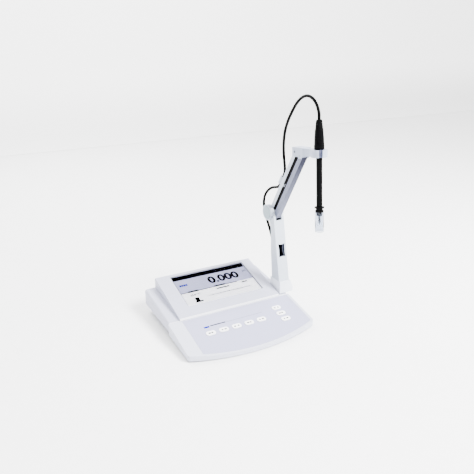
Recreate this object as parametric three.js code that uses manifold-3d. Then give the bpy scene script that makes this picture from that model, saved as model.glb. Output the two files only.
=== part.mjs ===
// Benchtop pH meter with an electrode arm, in millimetres, +Z up.
// X runs across the case, +Y to its back. Z = 0 is the table.
// The case holds a wide sloped display above a sloped key deck. A swivelling column on its right
// shoulder carries a two-bar linkage, whose head holds the electrode level while the arm tilts.
import * as THREE from 'three';
import { mergeVertices } from 'three/addons/utils/BufferGeometryUtils.js';
import Module from 'manifold-3d';

const wasm = await Module();
wasm.setup();

// ---------------------------------------------------------------- driving dimensions
const DEG = Math.PI / 180;
const GAP = 0.3; // between pieces that touch
const WALL = 2.4; // moulded casing wall

const HALF_WIDTH = 120; // case, half its width
const FRONT_CORNER_Y = -82; // where the front arc meets the case's sides
const CORNER_TRIM = 5; // where the rounding of the front corners starts, from the corner
const FRONT_BULGE = 23; // how far the front arc swells past its corners
const BACK_Y = 118;

const DECK_Z = 28.7; // top of the key deck at the seam, y = 0
const DECK_SLOPE = 0.2;
const DECK_TILT = Math.atan(DECK_SLOPE);
const OVERLAY_DEPTH = 0.5;

const HOOD_Z = 33.3; // top of the display hood at the seam
const HOOD_SLOPE = 0.26;
const HOOD_TILT = Math.atan(HOOD_SLOPE);
const HOOD_HALF = 99.5;
const HOOD_BACK_Y = 115;
const SHOULDER_Z = 28.9; // top of the side shoulders at the seam
const SHOULDER_SLOPE = 0.122;
const SHOULDER_ROUND = 5;

const FRONT_UNDERSIDE_Z = 8; // underside of the front part at the seam
const FRONT_UNDERSIDE_SLOPE = 0.062;
const REAR_UNDERSIDE_Z = 14;

const KEY = { width: 17, depth: 10, corner: 4, proud: 1, stroke: 0.8 };
const KEY_ROW = { x: -63.2, y: -46.6, pitch: 24.3, count: 5 };
const KEY_COLUMN = { x: 75.6, y: -28.9, pitch: -15.8, count: 3 };

const SCREEN = { x: 3.6, y: 66.4, width: 152.8, depth: 88.1 }; // opening in the hood

const ARM_X = 114; // the arm's mid plane
const ARM_TILT = 31.5 * DEG; // bars lean forward from upright
const ARM_LENGTH = 145; // between a bar's pivots
const PIVOT = { y: 47.5, z: 178.3 }; // rear bar's lower pivot, in the column's knuckle
const PIVOT_STEP = { y: -14.5, z: -5 }; // from the rear bar's pivot to the front bar's, at both ends
const KNUCKLE_RADIUS = 14.5;
const PIN_RADIUS = 2;
const BAR_HALF_WIDTH = 5.5;
const REAR_BAR_HALF = 4.75;
const FRONT_BAR_HALF = 4.25;
const SLOT_HALF = 6.3; // fork slot that the bars swing in

const COLUMN_HALF = 10.6;
const COLUMN_FOOT_Z = 54.3;
const SWIVEL = { y: 21, radius: 7 };

const HEAD_TILT = -4.5 * DEG; // the head's nose points slightly up
const HEAD_HALF_HEIGHT = 7.5; // of the fork
const RING_HEIGHTS = { low: -4.6, high: 6.6 }; // of the neck and the ring
const HEAD_HALF_WIDTH = 8.5;
const REACH = 55.5; // from the rear bar's upper pivot to the electrode
const RING_RADIUS = 13;
const SHAFT_RADIUS = 4.9;

const CABLE_RADIUS = 2.5;
const CABLE_SIDES = 8;
const COIL = { x: 75, y: 153.2, radius: 22, low: 0.2, high: 10.5 };
const PLUG = { x: 80, z: 31 };

// ---------------------------------------------------------------- materials
const material = (color, roughness, metalness = 0, opacity = 1) =>
  new THREE.MeshStandardMaterial({ color, roughness, metalness, opacity, transparent: opacity < 1 });

const finish = {
  casing: material(0xe6e7ef, 0.5),
  overlay: material(0xdcdcea, 0.42),
  arm: material(0xe4ebf2, 0.45),
  arm_grey: material(0xaab4ca, 0.5),
  cap_grey: material(0xc6d1da, 0.5),
  key: material(0xf7f7fa, 0.55),
  black: material(0x141417, 0.45),
  rubber: material(0x1c1c1e, 0.85),
  cable: material(0x101012, 0.5),
  screen: material(0xd9dae8, 0.2),
  glass: material(0xf2f6fa, 0.05, 0, 0.35),
  board: material(0x1f6b3a, 0.6),
  steel: material(0xb9bcc2, 0.3, 1),
  silver: material(0x6d6f74, 0.35, 1),
};

// ---------------------------------------------------------------- solids
// A geometry whose shared corners are one vertex, with no flat triangles and its faces pointing out.
function closed(geometry) {
  const bare = geometry.index ? geometry.toNonIndexed() : geometry.clone();
  bare.deleteAttribute('normal');
  bare.deleteAttribute('uv');
  const merged = mergeVertices(bare, 1e-4);
  const position = merged.attributes.position;
  const corner = (i) => new THREE.Vector3().fromBufferAttribute(position, i);
  const faces = [];
  let volume = 0;
  for (let i = 0; i < merged.index.count; i += 3) {
    const [a, b, c] = [0, 1, 2].map((k) => merged.index.getX(i + k));
    if (a === b || b === c || a === c) continue;
    faces.push([a, b, c]);
    volume += corner(a).dot(corner(b).cross(corner(c))) / 6;
  }
  merged.setIndex((volume < 0 ? faces.map(([a, b, c]) => [a, c, b]) : faces).flat());
  return merged;
}

function toSolid(geometry) {
  const mesh = closed(geometry);
  return new wasm.Manifold(
    new wasm.Mesh({
      numProp: 3,
      vertProperties: new Float32Array(mesh.attributes.position.array),
      triVerts: new Uint32Array(mesh.index.array),
    }),
  );
}

function toGeometry(solid) {
  const mesh = solid.getMesh();
  const geometry = new THREE.BufferGeometry();
  const positions = new Float32Array(mesh.numVert * 3);
  for (let i = 0; i < mesh.numVert; i += 1) {
    for (let k = 0; k < 3; k += 1) positions[3 * i + k] = mesh.vertProperties[mesh.numProp * i + k];
  }
  geometry.setAttribute('position', new THREE.BufferAttribute(positions, 3));
  geometry.setIndex(Array.from(mesh.triVerts));
  return geometry;
}

const cut = (body, ...tools) =>
  toGeometry(tools.reduce((rest, tool) => rest.subtract(toSolid(tool)), toSolid(body)));
const join = (...bodies) => toGeometry(bodies.map(toSolid).reduce((all, body) => all.add(body)));
const overlapOf = (a, b) => toGeometry(toSolid(a).intersect(toSolid(b)));

function outline(points) {
  return new THREE.Shape(points.map(([u, v]) => new THREE.Vector2(u, v)));
}

function roundedRectangle(width, depth, radius) {
  const [w, d] = [width / 2, depth / 2];
  const shape = new THREE.Shape();
  shape.moveTo(-w + radius, -d);
  shape.lineTo(w - radius, -d);
  shape.absarc(w - radius, -d + radius, radius, -90 * DEG, 0);
  shape.lineTo(w, d - radius);
  shape.absarc(w - radius, d - radius, radius, 0, 90 * DEG);
  shape.lineTo(-w + radius, d);
  shape.absarc(-w + radius, d - radius, radius, 90 * DEG, 180 * DEG);
  shape.lineTo(-w, -d + radius);
  shape.absarc(-w + radius, -d + radius, radius, 180 * DEG, 270 * DEG);
  return shape;
}

// A shape in the XY plane raised from low to high.
function raised(shape, low, high, curveSegments = 4) {
  const geometry = new THREE.ExtrudeGeometry(shape, {
    depth: high - low,
    bevelEnabled: false,
    curveSegments,
  });
  return geometry.translate(0, 0, low);
}

// A side profile, drawn in Y and Z, run along X from left to right.
function across(shape, left, right, curveSegments = 6) {
  const upright = new THREE.Matrix4().makeBasis(
    new THREE.Vector3(0, 1, 0),
    new THREE.Vector3(0, 0, 1),
    new THREE.Vector3(1, 0, 0),
  );
  return raised(shape, left, right, curveSegments).applyMatrix4(upright);
}

function block(x0, x1, y0, y1, z0, z1) {
  const geometry = new THREE.BoxGeometry(x1 - x0, y1 - y0, z1 - z0);
  return geometry.translate((x0 + x1) / 2, (y0 + y1) / 2, (z0 + z1) / 2);
}

// A profile of [radius, height] points turned about Z.
function turned(profile, sides = 16) {
  const points = [...profile, profile[0]].map(([r, z]) => new THREE.Vector2(r, z));
  return new THREE.LatheGeometry(points, sides).rotateX(90 * DEG);
}

const disc = (radius, low, high, sides = 16) =>
  turned([[0, low], [radius, low], [radius, high], [0, high]], sides);

const alongX = (geometry) => geometry.rotateY(90 * DEG);
const alongY = (geometry) => geometry.rotateX(-90 * DEG);

// A round hole or pin across X at height z and depth y.
const crossRod = (radius, y, z, left, right, sides = 12) =>
  alongX(disc(radius, left, right, sides)).translate(0, y, z);

// ---------------------------------------------------------------- scene graph
const meter = new THREE.Group();

function place(name, geometry, look, parent = meter) {
  const mesh = new THREE.Mesh(geometry, look);
  mesh.name = name;
  parent.add(mesh);
  return mesh;
}

function frame(x, y, z, tilt) {
  const group = new THREE.Group();
  group.position.set(x, y, z);
  group.rotation.x = tilt;
  group.updateMatrix();
  meter.add(group);
  return group;
}

const deck = frame(0, 0, DECK_Z, DECK_TILT);
const hood = frame(0, 0, HOOD_Z, HOOD_TILT);
const inFrame = (group, geometry) => geometry.applyMatrix4(group.matrix);

// ---------------------------------------------------------------- case outline and heights
const deckZ = (y) => DECK_Z + DECK_SLOPE * y;
const hoodZ = (y) => HOOD_Z + HOOD_SLOPE * y;
const shoulderZ = (y) => SHOULDER_Z + SHOULDER_SLOPE * y;
const undersideZ = (y) => FRONT_UNDERSIDE_Z + FRONT_UNDERSIDE_SLOPE * y;

// Plan of the front part, set in from its outer wall. Its front is one shallow arc.
function frontPlan(inset, backY) {
  const arcRadius = (HALF_WIDTH ** 2 + FRONT_BULGE ** 2) / (2 * FRONT_BULGE);
  const centreY = FRONT_CORNER_Y - FRONT_BULGE + arcRadius;
  const radius = arcRadius - inset;
  const half = HALF_WIDTH - inset;
  const swing = Math.asin(half / radius);
  const cornerY = centreY - radius * Math.cos(swing);
  const trim = CORNER_TRIM / radius;
  const leave = new THREE.Vector2(Math.sin(swing - trim), -Math.cos(swing - trim));
  leave.multiplyScalar(radius).add(new THREE.Vector2(0, centreY));
  const shape = new THREE.Shape();
  shape.moveTo(half, backY);
  shape.lineTo(-half, backY);
  shape.lineTo(-half, cornerY + CORNER_TRIM);
  shape.quadraticCurveTo(-half, cornerY, -leave.x, leave.y);
  shape.absarc(0, centreY, radius, -90 * DEG - swing + trim, -90 * DEG + swing - trim);
  shape.quadraticCurveTo(half, cornerY, half, cornerY + CORNER_TRIM);
  shape.closePath();
  return shape;
}

const FAR_FRONT = FRONT_CORNER_Y - FRONT_BULGE - 10;

function frontBody(inset, drop, backY) {
  const profile = outline([
    [FAR_FRONT, undersideZ(FAR_FRONT) - 20 * (inset > 0)],
    [backY, FRONT_UNDERSIDE_Z - 20 * (inset > 0)],
    [backY, deckZ(backY) - drop],
    [FAR_FRONT, deckZ(FAR_FRONT) - drop],
  ]);
  const plan = raised(frontPlan(inset, backY), -30, 90, 14);
  return overlapOf(plan, across(profile, -HALF_WIDTH - 5, HALF_WIDTH + 5));
}

function rearBody(inset, drop, floorZ) {
  const [y0, y1] = [GAP + inset, BACK_Y - inset];
  const ridge = HOOD_BACK_Y - inset;
  const shoulders = across(
    outline([[y0, floorZ], [y1, floorZ], [y1, shoulderZ(y1) - drop], [y0, shoulderZ(y0) - drop]]),
    -HALF_WIDTH + inset,
    HALF_WIDTH - inset,
  );
  const display = across(
    outline([
      [y0, floorZ],
      [y1, floorZ],
      [y1, hoodZ(ridge) - 3 - drop],
      [ridge, hoodZ(ridge) - drop],
      [y0, hoodZ(y0) - drop],
    ]),
    -HOOD_HALF + inset,
    HOOD_HALF - inset,
  );
  return join(shoulders, display);
}

// ---------------------------------------------------------------- case
const keyPlaces = [];
for (let i = 0; i < KEY_ROW.count; i += 1) {
  keyPlaces.push([`row_key_${i + 1}`, KEY_ROW.x + i * KEY_ROW.pitch, KEY_ROW.y]);
}
for (let i = 0; i < KEY_COLUMN.count; i += 1) {
  keyPlaces.push([`side_key_${i + 1}`, KEY_COLUMN.x, KEY_COLUMN.y + i * KEY_COLUMN.pitch]);
}
const alongDeck = (y) => y / Math.cos(DECK_TILT);

function keyHoles(low, high) {
  const shape = roundedRectangle(KEY.width + 0.8, KEY.depth + 0.8, KEY.corner + 0.4);
  return keyPlaces.map(([, x, y]) => raised(shape, low, high, 3).translate(x, alongDeck(y), 0));
}

// The overlay's plan: straight sides, and a front edge that follows the case's own.
const OVERLAY = { left: -95.6, right: 114.6, back: -2.3, inset: 4.2 };

function overlaySheet(grow, low, high) {
  const plan = raised(frontPlan(OVERLAY.inset - grow, 0), -30, 90, 10);
  const sides = block(OVERLAY.left - grow, OVERLAY.right + grow, -150, OVERLAY.back + grow, -30, 90);
  const layer = across(
    outline([
      [FAR_FRONT, deckZ(FAR_FRONT) + low],
      [10, deckZ(10) + low],
      [10, deckZ(10) + high],
      [FAR_FRONT, deckZ(FAR_FRONT) + high],
    ]),
    -HALF_WIDTH,
    HALF_WIDTH,
  );
  return overlapOf(layer, overlapOf(plan, sides));
}

function frontCover() {
  const shell = cut(frontBody(0, 0, 0), frontBody(WALL, WALL, 10));
  const pocket = overlaySheet(GAP, -OVERLAY_DEPTH - GAP, 5);
  return cut(shell, pocket, ...keyHoles(-8, 5).map((hole) => inFrame(deck, hole)));
}

function keypadOverlay() {
  const sheet = overlaySheet(0, -OVERLAY_DEPTH, 0);
  return cut(sheet, ...keyHoles(-8, 5).map((hole) => inFrame(deck, hole)));
}

const KEY_FLANGE = { top: -WALL - 0.25, bottom: -WALL - 1.05, lip: 1.2 };

function keyCap() {
  const head = raised(roundedRectangle(KEY.width, KEY.depth, KEY.corner), KEY_FLANGE.bottom, KEY.proud, 3);
  const flange = raised(
    roundedRectangle(KEY.width + 2 * KEY_FLANGE.lip, KEY.depth + 2 * KEY_FLANGE.lip, KEY.corner),
    KEY_FLANGE.bottom,
    KEY_FLANGE.top,
    3,
  );
  return join(head, flange);
}

const SCREW_PLACES = [[-108, 14], [108, 14], [-108, 104], [108, 104]];
const SCREW = { shank: 1.5, head: 3.2, headHeight: 1.2, hole: 1.9, boss: 4 };

const SOCKET_BOLT_HOLE = 2.4;
const socketHoles = () => disc(SOCKET_BOLT_HOLE, 10, 60, 12).translate(ARM_X, SWIVEL.y, 0);
const PANEL = { half: 92, low: 18.5, high: 44 };

// What the rounding of a shoulder's outer edge takes away.
function shoulderEdge(side) {
  const radius = SHOULDER_ROUND;
  const shape = new THREE.Shape();
  const x = HALF_WIDTH - radius;
  shape.moveTo(x, 0);
  shape.absarc(x, -radius, radius, 90 * DEG, 0, true);
  shape.lineTo(HALF_WIDTH + 2, -radius);
  shape.lineTo(HALF_WIDTH + 2, 2);
  shape.lineTo(x, 2);
  shape.closePath();
  const strip = raised(shape, -BACK_Y - 20, 20, 6).rotateX(90 * DEG);
  strip.rotateX(Math.atan(SHOULDER_SLOPE)).translate(0, 0, SHOULDER_Z);
  return side > 0 ? strip : closed(strip.scale(-1, 1, 1));
}

function rearCover() {
  const inner = rearBody(WALL, WALL, REAR_UNDERSIDE_Z - 10);
  const shell = cut(rearBody(0, 0, REAR_UNDERSIDE_Z), inner);
  const bosses = SCREW_PLACES.map(([x, y]) => {
    const post = disc(SCREW.boss, REAR_UNDERSIDE_Z + 3, shoulderZ(y) - 1, 10);
    return post.translate(x, y, 0);
  });
  const bores = SCREW_PLACES.map(([x, y]) =>
    disc(SCREW.hole, 0, shoulderZ(y) - 5, 8).translate(x, y, 0),
  );
  const window = raised(roundedRectangle(SCREEN.width, SCREEN.depth, 2), -8, 8, 3);
  window.translate(SCREEN.x, SCREEN.y / Math.cos(HOOD_TILT), 0);
  const panelOpening = block(-PANEL.half, PANEL.half, BACK_Y - 6, BACK_Y + 5, PANEL.low, PANEL.high);
  const frontGate = block(-118, 118, -5, WALL + 2, 0, REAR_UNDERSIDE_Z + 3);
  return cut(
    join(shell, ...bosses),
    shoulderEdge(1),
    shoulderEdge(-1),
    ...bores,
    inFrame(hood, window),
    panelOpening,
    frontGate,
    socketHoles(),
  );
}

// One stepped plate closes both parts of the case from below.
function bottomPlate() {
  const lift = GAP;
  const thick = 2;
  const riser = -0.6;
  const section = outline([
    [FAR_FRONT, undersideZ(FAR_FRONT) + lift],
    [riser - thick, undersideZ(riser - thick) + lift],
    [riser, undersideZ(riser) + lift],
    [riser, REAR_UNDERSIDE_Z + lift],
    [BACK_Y - WALL - GAP, REAR_UNDERSIDE_Z + lift],
    [BACK_Y - WALL - GAP, REAR_UNDERSIDE_Z + lift + thick],
    [riser - thick, REAR_UNDERSIDE_Z + lift + thick],
    [riser - thick, undersideZ(riser - thick) + lift + thick],
    [FAR_FRONT, undersideZ(FAR_FRONT) + lift + thick],
  ]);
  const plate = across(section, -HALF_WIDTH + WALL + GAP, HALF_WIDTH - WALL - GAP);
  const plan = raised(frontPlan(WALL + GAP, BACK_Y), -10, 60, 14);
  const holes = SCREW_PLACES.map(([x, y]) => disc(SCREW.hole, 0, 30, 8).translate(x, y, 0));
  return cut(overlapOf(plate, plan), ...holes);
}

function caseScrew() {
  const top = REAR_UNDERSIDE_Z;
  return turned([
    [0, top - SCREW.headHeight],
    [SCREW.head, top - SCREW.headHeight],
    [SCREW.head, top],
    [SCREW.shank, top],
    [SCREW.shank, top + 10],
    [0, top + 10],
  ], 8);
}

function rearPanel() {
  const thick = [BACK_Y - 2.2, BACK_Y - 0.4];
  const plate = block(
    -PANEL.half + GAP,
    PANEL.half - GAP,
    thick[0],
    thick[1],
    PANEL.low + GAP,
    PANEL.high - GAP,
  );
  const round = (x, z, radius) => alongY(disc(radius, 100, 130, 16)).translate(x, 0, z);
  return cut(
    plate,
    round(PLUG.x, PLUG.z, 5.3),
    round(TEMPERATURE_X, PLUG.z, 3.6),
    round(POWER_X, PLUG.z, 5.3),
    block(DATA_X - 6.6, DATA_X + 6.6, 100, 130, PLUG.z - 3.6, PLUG.z + 3.6),
  );
}

const TEMPERATURE_X = 55;
const DATA_X = -35;
const POWER_X = -68;

place('bottom_plate', bottomPlate(), finish.casing);
place('front_cover', frontCover(), finish.casing);
place('rear_cover', rearCover(), finish.casing);
place('rear_panel', rearPanel(), finish.casing);
SCREW_PLACES.forEach(([x, y], i) => {
  place(`case_screw_${i + 1}`, caseScrew(), finish.steel).position.set(x, y, 0);
});

// Rubber feet: low pads at the front, tall ones under the raised back.
const FEET = [
  ['foot_front_left', -92, -66, undersideZ(-66) - 0.2, 6.5],
  ['foot_front_right', 92, -66, undersideZ(-66) - 0.2, 6.5],
  ['foot_back_left', -88, 98, REAR_UNDERSIDE_Z, 8],
  ['foot_back_right', 88, 98, REAR_UNDERSIDE_Z, 8],
];
for (const [name, x, y, height, radius] of FEET) {
  const foot = turned([[0, 0], [radius - 0.8, 0], [radius, 0.8], [radius, height], [0, height]], 16);
  place(name, foot, finish.rubber).position.set(x, y, 0);
}

// ---------------------------------------------------------------- keys and their board
place('keypad_overlay', keypadOverlay(), finish.overlay);
for (const [name, x, y] of keyPlaces) {
  place(name, keyCap(), finish.key, deck).position.set(x, alongDeck(y), 0);
}
const KEY_BOARD_Z = KEY_FLANGE.bottom - KEY.stroke - 0.6;
place('key_board', block(-82, 92, -72, -22, KEY_BOARD_Z - 1.6, KEY_BOARD_Z), finish.board, deck);

// ---------------------------------------------------------------- display
const screenY = SCREEN.y / Math.cos(HOOD_TILT);

function frameRing(width, depth, border, low, high) {
  const outer = raised(roundedRectangle(width, depth, 2), low, high, 3);
  const inner = raised(roundedRectangle(width - 2 * border, depth - 2 * border, 1), low - 5, high + 5, 3);
  return cut(outer, inner).translate(SCREEN.x, screenY, 0);
}

const PANE = { low: -1.9, high: -0.9 };
const pane = raised(roundedRectangle(SCREEN.width - 0.8, SCREEN.depth - 0.8, 2), PANE.low, PANE.high, 3);
place('display_window', pane.translate(SCREEN.x, screenY, 0), finish.glass, hood);
const BEZEL_TOP = -WALL - GAP;
place(
  'display_bezel',
  frameRing(SCREEN.width + 5, SCREEN.depth + 5, 4, BEZEL_TOP - 1.2, BEZEL_TOP),
  finish.arm_grey,
  hood,
);
const LCD_TOP = BEZEL_TOP - 1.2 - GAP;
const module = raised(roundedRectangle(SCREEN.width + 5, SCREEN.depth + 5, 2), LCD_TOP - 5, LCD_TOP, 3);
place('lcd_module', module.translate(SCREEN.x, screenY, 0), finish.screen, hood);
place('main_board', block(-88, 88, 14, 108, 19.5, 21.1), finish.board);

// ---------------------------------------------------------------- sockets on the rear panel
const OUT_Y = BACK_Y; // sockets stand on the panel's outside

function socket(x, profile, sides = 16) {
  return alongY(turned(profile, sides)).translate(x, OUT_Y, PLUG.z);
}

place(
  'bnc_jack',
  socket(PLUG.x, [[0, -8], [4.9, -8], [4.9, GAP], [8, GAP], [8, 2], [4.8, 2], [4.8, 11], [0, 11]]),
  finish.steel,
);
place(
  'temperature_jack',
  socket(TEMPERATURE_X, [
    [0, -8], [3.2, -8], [3.2, GAP], [5.4, GAP], [5.4, 2.4], [1.7, 2.4], [1.7, -5], [0, -5],
  ]),
  finish.black,
);
place(
  'power_inlet',
  socket(POWER_X, [
    [0, -8], [4.9, -8], [4.9, GAP], [6.4, GAP], [6.4, 1.4], [3, 1.4], [3, -6], [1, -6], [1, 0.6], [0, 0.6],
  ]),
  finish.black,
);

function dataPort() {
  const body = block(DATA_X - 6.2, DATA_X + 6.2, BACK_Y - 9, BACK_Y + 0.6, PLUG.z - 3.2, PLUG.z + 3.2);
  const mouth = block(DATA_X - 5.2, DATA_X + 5.2, BACK_Y - 7, BACK_Y + 5, PLUG.z - 2.3, PLUG.z + 2.3);
  const tongue = block(DATA_X - 4.2, DATA_X + 4.2, BACK_Y - 8, BACK_Y - 0.5, PLUG.z - 0.8, PLUG.z + 0.8);
  return join(cut(body, mouth), tongue);
}
place('data_port', dataPort(), finish.silver);

// ---------------------------------------------------------------- arm socket and swivel
const SOCKET = { front: 2.6, back: 36, top: COLUMN_FOOT_Z - GAP, bore: SWIVEL.radius + 0.4 };

function armSocket() {
  const section = outline([
    [ARM_X - COLUMN_HALF, 26],
    [ARM_X - COLUMN_HALF, SOCKET.top],
    [ARM_X + 12, SOCKET.top],
    [132, 38],
    [131, 31],
    [131, 26],
  ]);
  // Drawn in X and Z, run along Y.
  const flare = raised(section, -SOCKET.back, -SOCKET.front).rotateX(90 * DEG);
  const seat = across(
    outline([
      [-10, 0],
      [60, 0],
      [60, shoulderZ(60) + GAP],
      [-10, shoulderZ(-10) + GAP],
    ]),
    80,
    HALF_WIDTH + GAP,
  );
  const underside = block(80, 150, -10, 60, 0, 31);
  const bore = disc(SOCKET.bore, 40, 70, 16).translate(ARM_X, SWIVEL.y, 0);
  const line = block(ARM_X - 4, ARM_X + 5, 0, SOCKET.front + 0.8, 48.4, 49.6);
  return cut(flare, seat, underside, bore, line, socketHoles());
}
place('arm_socket', armSocket(), finish.arm);

const BOLT = { head: 3.2, shank: 2, headTop: shoulderZ(SWIVEL.y) - WALL - 1 };
const swivelBolt = turned([
  [0, BOLT.headTop - 3],
  [BOLT.head, BOLT.headTop - 3],
  [BOLT.head, BOLT.headTop],
  [BOLT.shank, BOLT.headTop],
  [BOLT.shank, 50],
  [0, 50],
], 12);
place('swivel_bolt', swivelBolt, finish.steel).position.set(ARM_X, SWIVEL.y, 0);

// ---------------------------------------------------------------- column
const COLUMN_TOP = { y: 28.5, z: 175.2 }; // top of its front face
const COLUMN_FRONT_Y = 5.6;
const columnFrontY = (z) =>
  COLUMN_FRONT_Y + ((COLUMN_TOP.y - COLUMN_FRONT_Y) * (z - COLUMN_FOOT_Z)) / (COLUMN_TOP.z - COLUMN_FOOT_Z);
const COLUMN_BACK = [[31.2, COLUMN_FOOT_Z], [36, 105], [37.5, 148], [39, 156]];
const columnBackY = (z) => {
  const i = COLUMN_BACK.findIndex(([, top]) => top >= z);
  const [[y0, z0], [y1, z1]] = [COLUMN_BACK[i - 1], COLUMN_BACK[i]];
  return y0 + ((y1 - y0) * (z - z0)) / (z1 - z0);
};

const KNUCKLE = { half: 13.6, capRadius: 12.4, capInner: 12.4, capOuter: 14.2 };

function columnProfile() {
  const shape = new THREE.Shape();
  shape.moveTo(COLUMN_FRONT_Y, COLUMN_FOOT_Z);
  COLUMN_BACK.forEach(([y, z]) => shape.lineTo(y, z));
  shape.absarc(PIVOT.y, PIVOT.z, KNUCKLE_RADIUS, -105 * DEG, 155 * DEG);
  shape.lineTo(COLUMN_TOP.y, COLUMN_TOP.z);
  shape.closePath();
  return shape;
}

const COLUMN_HOLLOW = { half: 8.2, low: 62, high: 146 };
const WINDOW = { x: 0.8, z: 111.2, half: 6.9, high: 12.2, waist: 1.6, bow: 2 };
const SLOT_FLOOR = { front: 166.8, back: 171.8 };

// The window in the column's front: a tall rectangle with a slightly pinched waist.
function windowShape() {
  const { half, high, waist, bow } = WINDOW;
  const shape = new THREE.Shape();
  shape.moveTo(-half, -high);
  shape.quadraticCurveTo(0, -high + bow, half, -high);
  shape.quadraticCurveTo(half - waist, 0, half, high);
  shape.quadraticCurveTo(0, high - bow, -half, high);
  shape.quadraticCurveTo(-half + waist, 0, -half, -high);
  return shape;
}

function column() {
  const body = across(columnProfile(), -COLUMN_HALF, COLUMN_HALF, 20);
  const slot = across(
    outline([
      [0, SLOT_FLOOR.front],
      [PIVOT.y - 8, SLOT_FLOOR.front],
      [PIVOT.y + 2, SLOT_FLOOR.back],
      [PIVOT.y + 40, SLOT_FLOOR.back],
      [PIVOT.y + 40, 240],
      [0, 240],
    ]),
    -SLOT_HALF,
    SLOT_HALF,
  );
  const hollow = across(
    outline([
      [columnFrontY(COLUMN_HOLLOW.low) + 2.6, COLUMN_HOLLOW.low],
      [80, COLUMN_HOLLOW.low],
      [80, COLUMN_HOLLOW.high],
      [columnFrontY(COLUMN_HOLLOW.high) + 2.6, COLUMN_HOLLOW.high],
    ]),
    -COLUMN_HOLLOW.half,
    COLUMN_HOLLOW.half,
  );
  const windowCut = raised(windowShape(), -12, 12, 4).rotateX(90 * DEG);
  windowCut.translate(WINDOW.x, columnFrontY(WINDOW.z), WINDOW.z);
  const spigot = disc(SWIVEL.radius, 42, COLUMN_FOOT_Z + 2, 16).translate(0, SWIVEL.y, 0);
  const bolt = disc(BOLT.shank + GAP, 30, 50.4, 12).translate(0, SWIVEL.y, 0);
  const rear = crossRod(PIN_RADIUS + GAP, PIVOT.y, PIVOT.z, -20, 20);
  const front = crossRod(PIN_RADIUS + GAP, PIVOT.y + PIVOT_STEP.y, PIVOT.z + PIVOT_STEP.z, -20, 20);
  const boss = crossRod(KNUCKLE_RADIUS, PIVOT.y, PIVOT.z, -KNUCKLE.half, KNUCKLE.half, 40);
  const { capRadius, capInner } = KNUCKLE;
  const seats = [
    crossRod(capRadius + GAP, PIVOT.y, PIVOT.z, -20, -capInner + GAP, 28),
    crossRod(capRadius + GAP, PIVOT.y, PIVOT.z, capInner - GAP, 20, 28),
  ];
  return cut(join(body, spigot, boss), slot, hollow, windowCut, bolt, rear, front, ...seats);
}

place('column', column(), finish.arm).position.x = ARM_X;

function columnBackCover() {
  const low = COLUMN_HOLLOW.low + 0.4;
  const high = COLUMN_HOLLOW.high - 0.4;
  const bend = COLUMN_BACK[1];
  const thick = 2;
  return across(
    outline([
      [columnBackY(low) - thick, low],
      [columnBackY(low), low],
      bend,
      [columnBackY(high), high],
      [columnBackY(high) - thick, high],
      [bend[0] - thick, bend[1]],
    ]),
    -COLUMN_HOLLOW.half + 0.4,
    COLUMN_HOLLOW.half - 0.4,
  );
}
place('column_back_cover', columnBackCover(), finish.arm).position.x = ARM_X;

for (const [name, side] of [['knuckle_cap_left', -1], ['knuckle_cap_right', 1]]) {
  const { capRadius: radius, capInner: inner, capOuter: outer } = KNUCKLE;
  const cap = turned(
    [[0, inner], [radius, inner], [radius, outer - 0.7], [radius - 1, outer], [0, outer]],
    28,
  );
  const facing = closed(alongX(cap).scale(side, 1, 1));
  place(name, facing, finish.cap_grey).position.set(ARM_X, PIVOT.y, PIVOT.z);
}

// ---------------------------------------------------------------- linkage
// Upper pivots follow from the lower ones and the bars' tilt.
const REACH_Y = -ARM_LENGTH * Math.sin(ARM_TILT);
const REACH_Z = ARM_LENGTH * Math.cos(ARM_TILT);
const UPPER = { y: PIVOT.y + REACH_Y, z: PIVOT.z + REACH_Z };

const rearArm = frame(ARM_X, PIVOT.y, PIVOT.z, ARM_TILT);
const frontArm = frame(ARM_X, PIVOT.y + PIVOT_STEP.y, PIVOT.z + PIVOT_STEP.z, ARM_TILT);

function bar(half) {
  const shape = new THREE.Shape();
  shape.absarc(0, 0, half, 180 * DEG, 360 * DEG);
  shape.absarc(0, ARM_LENGTH, half, 0, 180 * DEG);
  shape.closePath();
  const body = across(shape, -BAR_HALF_WIDTH, BAR_HALF_WIDTH, 12);
  const holes = [0, ARM_LENGTH].map((z) => crossRod(PIN_RADIUS + GAP, 0, z, -10, 10));
  return cut(body, ...holes);
}

// Dark strip let into the rear bar's front, as wide as the bar except at a narrow neck.
const LINER = { depth: 1.5, low: 9, high: ARM_LENGTH - 8, neck: 2, neckLow: 68, neckHigh: 75 };

function linerStrip(grow, proud) {
  const layer = (half, low, high) =>
    block(-half, half, -REAR_BAR_HALF - proud, -REAR_BAR_HALF + LINER.depth + grow, low, high);
  const wide = BAR_HALF_WIDTH + (grow > 0 ? 1 : 0);
  return join(
    layer(wide, LINER.low - grow, LINER.neckLow + grow),
    layer(LINER.neck + grow, LINER.neckLow - 5, LINER.neckHigh + 5),
    layer(wide, LINER.neckHigh - grow, LINER.high + grow),
  );
}
place('rear_bar', cut(bar(REAR_BAR_HALF), linerStrip(GAP, 5)), finish.arm, rearArm);
place('bar_liner', linerStrip(0, 0), finish.black, rearArm);
place('front_bar', bar(FRONT_BAR_HALF), finish.arm_grey, frontArm);

const pin = (half) => alongX(disc(PIN_RADIUS, -half, half, 12));
const LOWER_PIN_HALF = 11.8;
const FRONT_PIN_HALF = 10.2;
const UPPER_PIN_HALF = 8.4;
place('lower_rear_pin', pin(LOWER_PIN_HALF), finish.steel).position.set(ARM_X, PIVOT.y, PIVOT.z);
place('lower_front_pin', pin(FRONT_PIN_HALF), finish.steel).position.copy(frontArm.position);
place('upper_rear_pin', pin(UPPER_PIN_HALF), finish.steel).position.set(ARM_X, UPPER.y, UPPER.z);
place('upper_front_pin', pin(UPPER_PIN_HALF), finish.steel).position.set(
  ARM_X,
  UPPER.y + PIVOT_STEP.y,
  UPPER.z + PIVOT_STEP.z,
);

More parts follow.
